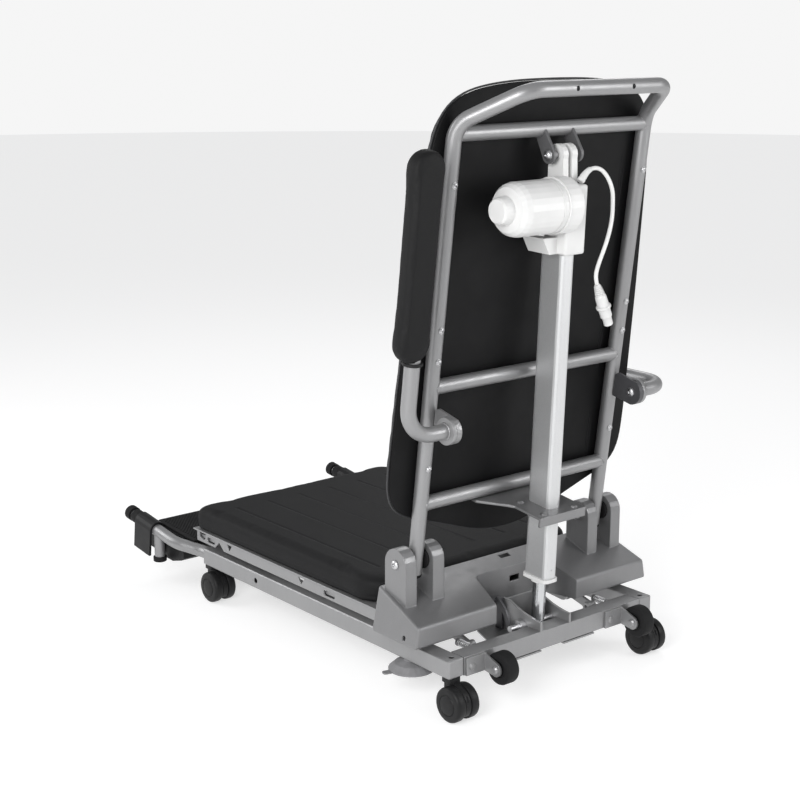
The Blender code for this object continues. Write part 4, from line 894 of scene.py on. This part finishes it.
def back_pad():
    plane = pad_plane()
    outline = rounded_line(pad_outline(), 0.012)
    bm = add_pillow(new(), inset_ring(outline, -0.003), BOARD_THICKNESS, PAD_THICKNESS - 0.002, 0.002, 0.008, plane)
    mesh = inflated("back_pad_cover", bm, 0.0055, 0.006)

    def shape(u, v, w, facing):
        front = np.clip(facing[:, 2], 0, 1)
        crown = 0.006 * np.maximum(0, 1 - (u / 0.27) ** 2) * np.maximum(0, 1 - (v / 0.41) ** 2)
        w = w + front * crown
        seam = groove(w - 0.0085, 0.0018)
        u = u - facing[:, 0] * 0.0012 * seam
        v = v - facing[:, 1] * 0.0012 * seam
        return u, v, np.clip(w, BOARD_THICKNESS + 0.0001, PAD_THICKNESS + 0.008)

    reshaped(mesh, plane, shape)
    cover = placed("back_pad_cover", shifted(mesh), "black_pad", "seat_and_back", replaces=("back_pad",), smooth=0)
    board = add_slab(new(), inset_ring(outline, -0.003), 0.0002, BOARD_THICKNESS, plane)
    piece("back_pad_board", board, BOARD, "seat_and_back", bevel=0.0012)
    ring = [plane @ Vector((u, v, BOARD_THICKNESS + 0.0015)) for u, v in inset_ring(outline, -0.0045)]
    piece("back_pad_piping", add_swept(new(), ring, 0.0017, 8, closed=True), THREAD, "seat_and_back",
          smooth=0)
    # Painted shade: thin near-black slabs on the board's rear face where the clip slots open, standing in for the
    # shade inside them.
    slots = new()
    for side in (1, -1):
        for v in (0.250, -0.050, -0.230):
            for step in (0, 1):
                middle = (side * (SLOT_X + 0.006 * step), v - 0.026 * step)
                add_slab(slots, rounded_rectangle(0.0010, 0.034, 0.0009, 4, middle), -0.0001, 0.0006, plane)
    piece("back_pad_clip_slot_shade", slots, PAINTED_SHADE, "seat_and_back", smooth=0)


back_pad()


# The armrest pads
ARMREST_PIVOT = (-0.0365, 0.494)
ARMREST_X = 0.3145
ARMREST_DROP = 90 + math.degrees(math.atan(BACK_SLOPE))


def armrest_drop(side):
    """The turn that brings the right armrest down. The left one stays up."""
    if side > 0:
        return Matrix.Identity(4)
    pivot = Matrix.Translation((0, *ARMREST_PIVOT))
    return pivot @ Matrix.Rotation(math.radians(ARMREST_DROP), 4, "X") @ pivot.inverted()


def armrest_pads():
    y, z = ARMREST_PIVOT
    up = Vector((0, BACK_SLOPE, 1)).normalized()
    back = Vector((0, 1, -BACK_SLOPE)).normalized()
    for name, side in both_sides():
        drop = armrest_drop(side)
        centre = Vector((side * (ARMREST_X + 0.006), y + (0.792 - z) * BACK_SLOPE, 0.792))
        place = drop @ axes(centre, (1, 0, 0), up, back)
        outline = arc((0, 0.138), 0.0318, 0, 180, 14) + arc((0, -0.138), 0.0318, 180, 360, 14)
        bm = add_pillow(new(), outline, -0.0150, 0.0150, 0.008, 0.008, place)
        mesh = inflated(f"armrest_cover_{name}", bm, 0.004, 0.003)

        def shape(u, v, w, facing):
            seam = groove(w + 0.0095, 0.0013)
            return u - facing[:, 0] * 0.0009 * seam, v - facing[:, 1] * 0.0009 * seam, np.clip(w, -0.0168, 0.0168)

        reshaped(mesh, place, shape)
        cover = placed(f"armrest_cover_{name}", shifted(mesh), "black_pad", f"armrest_{name}",
                       replaces=(f"armrest_pad_{name}",), smooth=0)
        socket = [place @ Vector((-side * 0.006, v, 0)) for v in (-0.1690, -0.1735)]
        ring = add_turned(new(), [(0.0132, 0), (0.0162, 0), (0.0172, -0.0016), (0.0172, -0.0040), (0.0160, -0.0052),
                                  (0.0132, -0.0052)], along(socket[0], socket[0] - socket[1]), 32)
        piece(f"armrest_collar_{name}", ring, "black_plastic", f"armrest_{name}", smooth=30)


armrest_pads()

# ---------------------------------------------------------------- castors and transport wheels

def castors():
    """Twin-wheel castors: rounded tyres, a hub disc on each side, and a body between them with its slot, whose inside
    is a thin mark of painted shade.
    """
    for row in ("rear", "front"):
        for name, _ in both_sides():
            place = f"{row}_{name}"
            low, high = (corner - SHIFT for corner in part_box(f"castor_wheels_{place}"))
            centre = (low + high) / 2
            r = (high.z - low.z) / 2
            outer = (high.x - low.x) / 2 - 0.0015
            inner = 0.0068
            tyre = [(0, inner), (r - 0.0030, inner), (r - 0.0008, inner + 0.0009), (r, inner + 0.0030),
                    (r, outer - 0.0055), (r - 0.0009, outer - 0.0024), (r - 0.0030, outer - 0.0006),
                    (r - 0.0055, outer), (0.0188, outer), (0.0182, outer - 0.0009), (0.0176, outer - 0.0009),
                    (0.0170, outer + 0.0002), (0.0150, outer + 0.0010), (0.0060, outer + 0.0014), (0, outer + 0.0014)]
            bm = new()
            add_turned(bm, tyre, along(centre, (1, 0, 0)), 48)
            add_turned(bm, tyre, along(centre, (-1, 0, 0)), 48)
            add_bar(bm, 0.0040, -inner, inner, along(centre, (1, 0, 0)), 16)
            piece(f"castor_tyres_{place}", bm, "black_plastic", f"castor_{place}_wheels",
                  replaces=(f"castor_wheels_{place}",), smooth=40)

            low, high = (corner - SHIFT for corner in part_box(f"castor_fork_{place}"))
            stem = Vector((centre.x, centre.y - 0.0175, 0))
            body = arc((centre.y, centre.z), r - 0.0022, 62, -42, 14) + arc((centre.y, centre.z), 0.0125, 250, 215, 4)
            body += [(stem.y - 0.0110, 0.0400), (stem.y - 0.0118, 0.0520), (stem.y - 0.0118, 0.0640),
                     (stem.y + 0.0118, 0.0650)]
            bm = add_slab(new(), body, centre.x - 0.0058, centre.x + 0.0058, SIDE_VIEW)
            piece(f"castor_body_{place}", bm, "black_plastic", f"castor_{place}",
                  replaces=(f"castor_fork_{place}",), bevel=0.0008, segments=2)
            neck = add_slab(new(), rounded_rectangle(0.0118, 0.0118, 0.003), 0.0628, high.z,
                            Matrix.Translation((stem.x, stem.y, 0)))
            piece(f"castor_neck_{place}", neck, "black_plastic", f"castor_{place}", bevel=0.0008, segments=2)
            # Painted shade: a thin near-black mark on the body where its slot is, standing in for the shade inside the
            # slot.
            angle = math.radians(28)
            out = Vector((0, math.cos(angle), math.sin(angle)))
            across = Vector((0, -math.sin(angle), math.cos(angle)))
            spot = axes(centre + out * (r - 0.0026), (1, 0, 0), across, out)
            mark = add_slab(new(), rounded_rectangle(0.0016, 0.0052, 0.0015), 0, 0.0007, spot)
            piece(f"castor_slot_shade_{place}", mark, PAINTED_SHADE, f"castor_{place}", smooth=0)


def transport_wheels():
    """A black plastic hub in each rubber tyre."""
    for name, _ in both_sides():
        low, high = (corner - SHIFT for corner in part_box(f"transport_wheel_{name}"))
        centre = (low + high) / 2
        r = (high.z - low.z) / 2
        half = (high.x - low.x) / 2
        tyre = mirrored_profile([(0.0150, -half + 0.0006), (0.0190, -half), (r - 0.0035, -half),
                                 (r - 0.0010, -half + 0.0011), (r, -half + 0.0035)])
        piece(f"transport_tyre_{name}", add_turned(new(), tyre, along(centre, (1, 0, 0)), 48), "black_rubber",
              f"transport_wheel_{name}", replaces=(f"transport_wheel_{name}",), smooth=40)
        hub = mirrored_profile([(0.0045, -half - 0.0006), (0.0072, -half - 0.0006), (0.0080, -half + 0.0020),
                                (0.0130, -half + 0.0024), (0.0149, -half + 0.0008)])
        piece(f"transport_hub_{name}", add_turned(new(), hub, along(centre, (1, 0, 0)), 48), "black_plastic",
              f"transport_wheel_{name}", smooth=40)


castors()
transport_wheels()


# ---------------------------------------------------------------- fasteners

def button_head(bm, at, direction, radius=0.0052, height=0.0030, socket=0.0022, washer=0.0):
    """A button-head screw: a domed head with a hexagon socket, on a washer if it has one."""
    base = washer and 0.0010
    place = along(at, direction)
    if washer:
        add_turned(bm, [(0, 0), (washer, 0), (washer, 0.0007), (washer - 0.0003, base), (0, base)], place, 28)
    dome = [(0, base), (radius, base)]
    for k in range(1, 6):
        a = math.pi / 2 * k / 6
        dome.append((radius * math.cos(a) * 0.98 + 0.0001, base + height * math.sin(a)))
    dome += [(socket * 1.12, base + height), (socket, base + height - 0.0002), (socket, base + height * 0.35),
             (0, base + height * 0.35)]
    add_turned(bm, dome, place, 6 * 5)
    return bm


def hexagon(bm, at, direction, across, low, high, chamfer=0.0005):
    radius = across / math.sqrt(3)
    place = along(at, direction)
    add_turned(bm, [(0, low), (radius - chamfer, low), (radius, low + chamfer), (radius, high - chamfer),
                    (radius - chamfer, high), (0, high)], place, 6)
    return bm


BACK_X = 0.220
BACK_PIN = (-0.1255, 0.2465)
PAD_SCREW_Z = (0.896, 0.658, 0.604, 0.417)
CROSSBAR_Z = (0.975, 0.557, 0.349)
HANDLE_Y, HANDLE_Z = 0.071, 1.0450
HANDLE_HOLE_X = 0.064
RAIL_X, RAIL_Z = 0.2335, 0.0895
FOOT_TUBE = 0.0125
FOOT_X, FOOT_LEG_Y = 0.2676, -0.9000
EYE_HEIGHT = 0.8305              # the upper eye's distance from the lower pin


def pad_screws():
    """The screws that hold the back pad, through the rear of the side tubes."""
    rear = Vector((0, 1, -BACK_SLOPE)).normalized()
    for name, side in both_sides():
        bm = new()
        for z in PAD_SCREW_Z:
            at = Vector((side * BACK_X, back_y(z), z)) + rear * (BACK_TUBE - 0.0004)
            button_head(bm, at, rear, 0.0048, 0.0026, 0.0018, 0.0058)
        piece(f"pad_screws_{name}", bm, "zinc", "seat_and_back", smooth=30)


def ear_details():
    """Black discs between the ears and the tube, and the screws' sockets."""
    y, z = BACK_PIN
    for name, side in both_sides():
        discs = new()
        for low, high in ((0.2028, 0.2068), (0.2333, 0.2386)):
            ring = [(0.0056, low), (0.0178, low), (0.0185, low + 0.0007), (0.0185, high - 0.0007), (0.0178, high),
                    (0.0056, high)]
            add_turned(discs, ring, along((0, y, z), (side, 0, 0)), 40)
        piece(f"ear_spacers_{name}", discs, "black_rubber", "seat_and_back", smooth=35)
        caps = new()
        button_head(caps, (side * 0.2642, y, z), (side, 0, 0), 0.0085, 0.0048, 0.0030)
        hexagon(caps, (side * 0.1769, y, z), (-side, 0, 0), 0.0150, 0.0002, 0.0062)
        piece(f"ear_screw_{name}", caps, "zinc", "seat_and_back", replaces=(f"ear_bolt_{name}",), smooth=30)
        shank = add_bar(new(), 0.0049, 0.1700, 0.2650, along((0, y, z), (side, 0, 0)), 20)
        piece(f"ear_shank_{name}", shank, "zinc", "seat_and_back", smooth=30)


def weld_ring(bm, centre, axis, radius, other_axis, other_radius, size=0.0016, count=44):
    """A bead round a bar where it meets a second bar at centre: a saddle curve with small ripples."""
    axis = Vector(axis).normalized()
    other = Vector(other_axis).normalized()
    third = axis.cross(other).normalized()
    path = []
    radii = []
    for i in range(count):
        a = 2 * math.pi * i / count
        p = other * (radius * math.cos(a)) + third * (radius * math.sin(a))
        depth = math.sqrt(max(other_radius ** 2 - (radius * math.sin(a)) ** 2, 1e-9))
        path.append(Vector(centre) + p + axis * depth)
        radii.append(size * (1.0 + 0.12 * math.sin(i * 2.4)))
    add_swept(bm, path, radii, 8, closed=True)


def frame_welds():
    """Weld beads where the crossbars meet the side tubes."""
    up = Vector((0, BACK_SLOPE, 1)).normalized()
    bm = new()
    for z in CROSSBAR_Z:
        for side in (1, -1):
            weld_ring(bm, (side * BACK_X, back_y(z), z), (-side, 0, 0), BACK_TUBE - 0.0004, up, BACK_TUBE)
    piece("back_frame_welds", bm, "silver_paint", "seat_and_back", smooth=0)


def handle_hole_shade():
    """Painted shade: dark bores behind the two holes in the handle, standing in for the shade inside the tube."""
    bm = new()
    for side in (1, -1):
        add_turned(bm, [(0, -0.004), (0.0042, -0.004), (0.0042, -0.0003), (0.0036, 0.0002), (0, 0.0002)],
                   along((side * HANDLE_HOLE_X, HANDLE_Y + BACK_TUBE - 0.0002, HANDLE_Z), (0, 1, 0)), 20)
    piece("handle_hole_painted_shade", bm, PAINTED_SHADE, "seat_and_back", smooth=30)


def bent(corners, radius, steps=14):
    """The points of a tube's centre line: straight runs joined by arcs of the bend radius."""
    corners = [Vector(c) for c in corners]
    points = [corners[0]]
    for before, corner, after in zip(corners, corners[1:], corners[2:]):
        into = (corner - before).normalized()
        out = (after - corner).normalized()
        turn = into.angle(out)
        setback = radius * math.tan(turn / 2)
        centre = corner + (out - into).normalized() * (radius / math.cos(turn / 2))
        first = corner - into * setback - centre
        axis = into.cross(out).normalized()
        points += [centre + Matrix.Rotation(turn * i / steps, 3, axis) @ first for i in range(steps + 1)]
    return points + [corners[-1]]


def smooth_tubes():
    """The round tubes of the back frame, the armrests and the footrest, with smooth bends."""
    half = [(BACK_X, back_y(0.222), 0.222), (BACK_X, back_y(0.990), 0.990), (0.155, HANDLE_Y, HANDLE_Z)]
    corners = half + [(-x, y, z) for x, y, z in reversed(half)]
    bm = add_swept(new(), bent(corners, 0.048), BACK_TUBE, 28)
    for z in CROSSBAR_Z:
        add_bar(bm, BACK_TUBE - 0.0002, -BACK_X, BACK_X, along((0, back_y(z), z), (1, 0, 0)), 28)
    piece("back_frame_tubes", bm, "silver_paint", "seat_and_back", replaces=("back_frame",), smooth=40)
    eye = actuator_tip(EYE_HEIGHT)
    bar = (back_y(CROSSBAR_Z[0]), CROSSBAR_Z[0])
    outline = arc((eye.y, eye.z), 0.0145, -140, 40, 14) + arc(bar, 0.0120, 60, 200, 8)
    for name, side in both_sides():
        plate = add_slab(new(), outline, *sorted((side * 0.0290, side * 0.0345)), SIDE_VIEW)
        piece(f"upper_clevis_{name}", plate, CAST_GREY, "seat_and_back", bevel=0.0009, segments=2)

    y, z = ARMREST_PIVOT
    for name, side in both_sides():
        drop = armrest_drop(side)
        corners = [(side * 0.2300, y, z), (side * ARMREST_X, y, z),
                   (side * ARMREST_X, y + (0.645 - z) * BACK_SLOPE, 0.645)]
        bm = add_swept(new(), [drop @ p for p in bent(corners, 0.054, 18)], BACK_TUBE, 28)
        flange = [(0, 0.2243), (0.0229, 0.2243), (0.0235, 0.2249), (0.0235, 0.2312), (0.0229, 0.2320), (0, 0.2320)]
        add_turned(bm, flange, along((0, y, z), (side, 0, 0)), 40)
        piece(f"armrest_bar_{name}", bm, "silver_paint", f"armrest_{name}", replaces=(f"armrest_tube_{name}",),
              smooth=40)

        rail, out = side * RAIL_X, side * FOOT_X
        corners = [(rail, -0.690, RAIL_Z), (rail, -0.785, RAIL_Z), (out, -0.835, 0.1015), (out, -0.995, 0.1225)]
        path = bent(corners, 0.060, 10)
        bm = add_swept(new(), path, FOOT_TUBE, 28)
        add_bar(bm, 0.0110, 0.0470, 0.1080, along((out, FOOT_LEG_Y, 0), (0, 0, 1)))
        piece(f"foot_bar_{name}", bm, "silver_paint", "base", replaces=(f"foot_tube_{name}",), smooth=40)
        ahead = (path[-1] - path[-2]).normalized()
        sleeve = [(0.0126, -0.0300), (0.0142, -0.0300), (0.0148, -0.0290), (0.0148, -0.0035), (0.0138, -0.0022),
                  (0.0126, -0.0022)]
        piece(f"foot_bar_sleeve_{name}", add_turned(new(), sleeve, along(path[-1], ahead), 32), "black_rubber", "base",
              smooth=40)


pad_screws()
ear_details()
frame_welds()
handle_hole_shade()


# ---------------------------------------------------------------- base details

def assist_springs():
    """A small coil spring beside each short lever, between two lugs."""
    for name, side in both_sides():
        turns, wire, radius = 6.5, 0.0011, 0.0058
        y0, y1 = -0.0655, -0.0375
        count = int(turns * 18)
        path = []
        for i in range(count + 1):
            t = i / count
            a = 2 * math.pi * turns * t
            path.append((side * 0.1690 + radius * math.cos(a), y0 + (y1 - y0) * t, 0.1000 + radius * math.sin(a)))
        piece(f"assist_spring_{name}", add_swept(new(), path, wire, 8), "zinc", "base", smooth=0)
        seat = new()
        for y in (y0 - 0.0040, y1 + 0.0006):
            add_turned(seat, [(0, 0), (0.0072, 0), (0.0072, 0.0020), (0.0042, 0.0026), (0, 0.0026)],
                       along((side * 0.1690, y, 0.1000), (0, 1, 0)), 24)
        piece(f"assist_spring_seats_{name}", seat, "silver_paint", "base", smooth=30)


def rail_hole_shade():
    """Painted shade: thin dark discs in the rails' holes, standing in for the shade inside them."""
    hole_shades = new()
    for side in (1, -1):
        add_bar(hole_shades, 0.0052, 0, 0.0010, along((side * RAIL_X, -0.0137, 0.1008), (0, 0, 1)))
        add_bar(hole_shades, 0.0060, 0, 0.0010, along((side * 0.2400, -0.571, RAIL_Z), (side, 0, 0)))
    piece("rail_hole_painted_shade", hole_shades, PAINTED_SHADE, "base", smooth=30)


def tread_ribs():
    """The raised diagonal ribs of the footboard's mat."""
    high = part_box("tread_mat")[1] - SHIFT
    tilt = math.atan((0.1150 - 0.1060) / 0.150)
    rear = Vector((0, math.cos(tilt), -math.sin(tilt)))
    up = Vector((0, math.sin(tilt), math.cos(tilt)))
    top = axes((0, -0.950, 0.1150), (1, 0, 0), rear, up)
    half, near_edge, far_edge, pitch = high.x - 0.010, 0.010, 0.141, 0.0078
    lean = math.tan(math.radians(42))
    bm = new()
    reach = (far_edge - near_edge) * lean
    at = -half - reach
    while at < half:
        ends = []
        for v in (near_edge, far_edge):
            u = at + (v - near_edge) * lean
            ends.append((u, v))
        (u0, v0), (u1, v1) = ends
        if u0 < -half:
            v0 += (-half - u0) / lean
            u0 = -half
        if u1 > half:
            v1 -= (u1 - half) / lean
            u1 = half
        at += pitch
        if v1 - v0 < 0.004:
            continue
        line = Vector((u1 - u0, v1 - v0))
        away = Vector((-line.y, line.x)).normalized() * 0.0014
        outline = [(u0 + away.x, v0 + away.y), (u0 - away.x, v0 - away.y), (u1 - away.x, v1 - away.y),
                   (u1 + away.x, v1 + away.y)]
        add_slab(bm, outline, 0.0038, 0.0054, top)
    piece("tread_mat_ribs", bm, "black_rubber", "base", smooth=0, bevel=0.0004, segments=1)


def footrest_details():
    """Black caps on the short legs."""
    for name, side in both_sides():
        cap = [(0, 0), (0.0128, 0), (0.0140, 0.0012), (0.0140, 0.0095), (0.0132, 0.0105), (0.0113, 0.0105),
               (0.0113, 0.0015), (0, 0.0015)]
        bm = add_turned(new(), cap, along((side * FOOT_X, FOOT_LEG_Y, 0.0458), (0, 0, 1)), 32)
        piece(f"foot_leg_cap_{name}", bm, "black_rubber", "base", smooth=40)


def band_details():
    """The folded seat tray's front clips: the return flange tips seen through its openings."""
    bm = new()
    for side in (1, -1):
        x = (0.2420, 0.2440) if side > 0 else (-0.2440, -0.2420)
        for y in (-0.760, -0.730, -0.335):
            add_slab(bm, [(y - 0.016, 0.1245), (y + 0.010, 0.1245), (y + 0.016, 0.1325), (y - 0.016, 0.1325)], *x,
                     SIDE_VIEW)
    piece("seat_tray_tabs", bm, "silver_paint", "seat_and_back", smooth=30, bevel=0.0004, segments=1)


assist_springs()
rail_hole_shade()
tread_ribs()
footrest_details()
band_details()


# ---------------------------------------------------------------- actuator details

def actuator_tip(height, forward=0.0):
    lean = math.radians(2.5)
    return Vector((0, -0.0460 + height * math.sin(lean) - forward * math.cos(lean),
                   0.104 + height * math.cos(lean) + forward * math.sin(lean)))


MOTOR_CENTRE = Vector((0.0, 0.011, 0.8535))


def motor_details():
    """The band at the gear housing, the motor can's rolled rim and the ring round its end boss."""
    x = Vector((1, 0, 0))
    rim = [(0.0451, 0.0560), (0.0456, 0.0565), (0.0456, 0.0585), (0.0451, 0.0590)]
    band = [(0.0468, 0.0440), (0.0478, 0.0446), (0.0478, 0.0466), (0.0468, 0.0472)]
    bm = add_turned(new(), rim, along(MOTOR_CENTRE, x), 72)
    add_turned(bm, band, along(MOTOR_CENTRE, x), 72)
    boss = [(0.0216, 0.1480), (0.0226, 0.1490), (0.0222, 0.1505), (0.0214, 0.1512)]
    add_turned(bm, boss, along(MOTOR_CENTRE, x), 56)
    piece("motor_bands", bm, "white_plastic", "seat_and_back", smooth=40)


def upper_pin_heads():
    """A socket-head bolt and its nut through the actuator's upper eye."""
    at = actuator_tip(EYE_HEIGHT)
    bm = new()
    for side in (1, -1):
        button_head(bm, (side * 0.0348, at.y, at.z), (side, 0, 0), 0.0078, 0.0046, 0.0028, 0.0092)
    add_bar(bm, 0.0058, -0.0350, 0.0350, along(at, (1, 0, 0)))
    piece("upper_pin_bolt", bm, "zinc", "seat_and_back", replaces=("upper_pin",), smooth=30)


def profile_details():
    """The white wiper ring where the rod leaves the profile, and the small screw in the end cap."""
    low = actuator_tip(0.0885 - 0.0065)
    up = (actuator_tip(1.0) - actuator_tip(0.0)).normalized()
    ring = [(0.0126, 0), (0.0150, 0), (0.0158, -0.0012), (0.0158, -0.0040), (0.0146, -0.0052), (0.0126, -0.0052)]
    piece("rod_wiper", add_turned(new(), ring, along(low, up), 40), "white_plastic", "seat_and_back", smooth=35)
    screw = new()
    spot = actuator_tip(0.104)
    button_head(screw, spot + Vector((0.0006, 0.0274, 0)), (0, 1, 0), 0.0022, 0.0008, 0.0008)
    piece("profile_set_screw", screw, "zinc", "seat_and_back", smooth=30)


smooth_tubes()
motor_details()
upper_pin_heads()
profile_details()


# ---------------------------------------------------------------- armrest details

def hinge_details():
    """Screw heads on the armrest hinges and the welds round their discs."""
    y, z = ARMREST_PIVOT
    for name, side in both_sides():
        bm = new()
        button_head(bm, (side * 0.2139, y, z), (-side, 0, 0), 0.0082, 0.0046, 0.0028)
        add_bar(bm, 0.0049, 0.2130, 0.2380, along((0, y, z), (side, 0, 0)), 20)
        piece(f"armrest_hinge_screw_{name}", bm, "zinc", "seat_and_back",
              replaces=(f"armrest_hinge_bolt_{name}",), smooth=30)
        bead = [(0.0128, 0.2318), (0.0152, 0.2318), (0.0146, 0.2334), (0.0134, 0.2342), (0.0128, 0.2344)]
        ring = add_turned(new(), bead, along((0, y, z), (side, 0, 0)), 40)
        piece(f"armrest_disc_weld_{name}", ring, "silver_paint", f"armrest_{name}", smooth=0)


hinge_details()
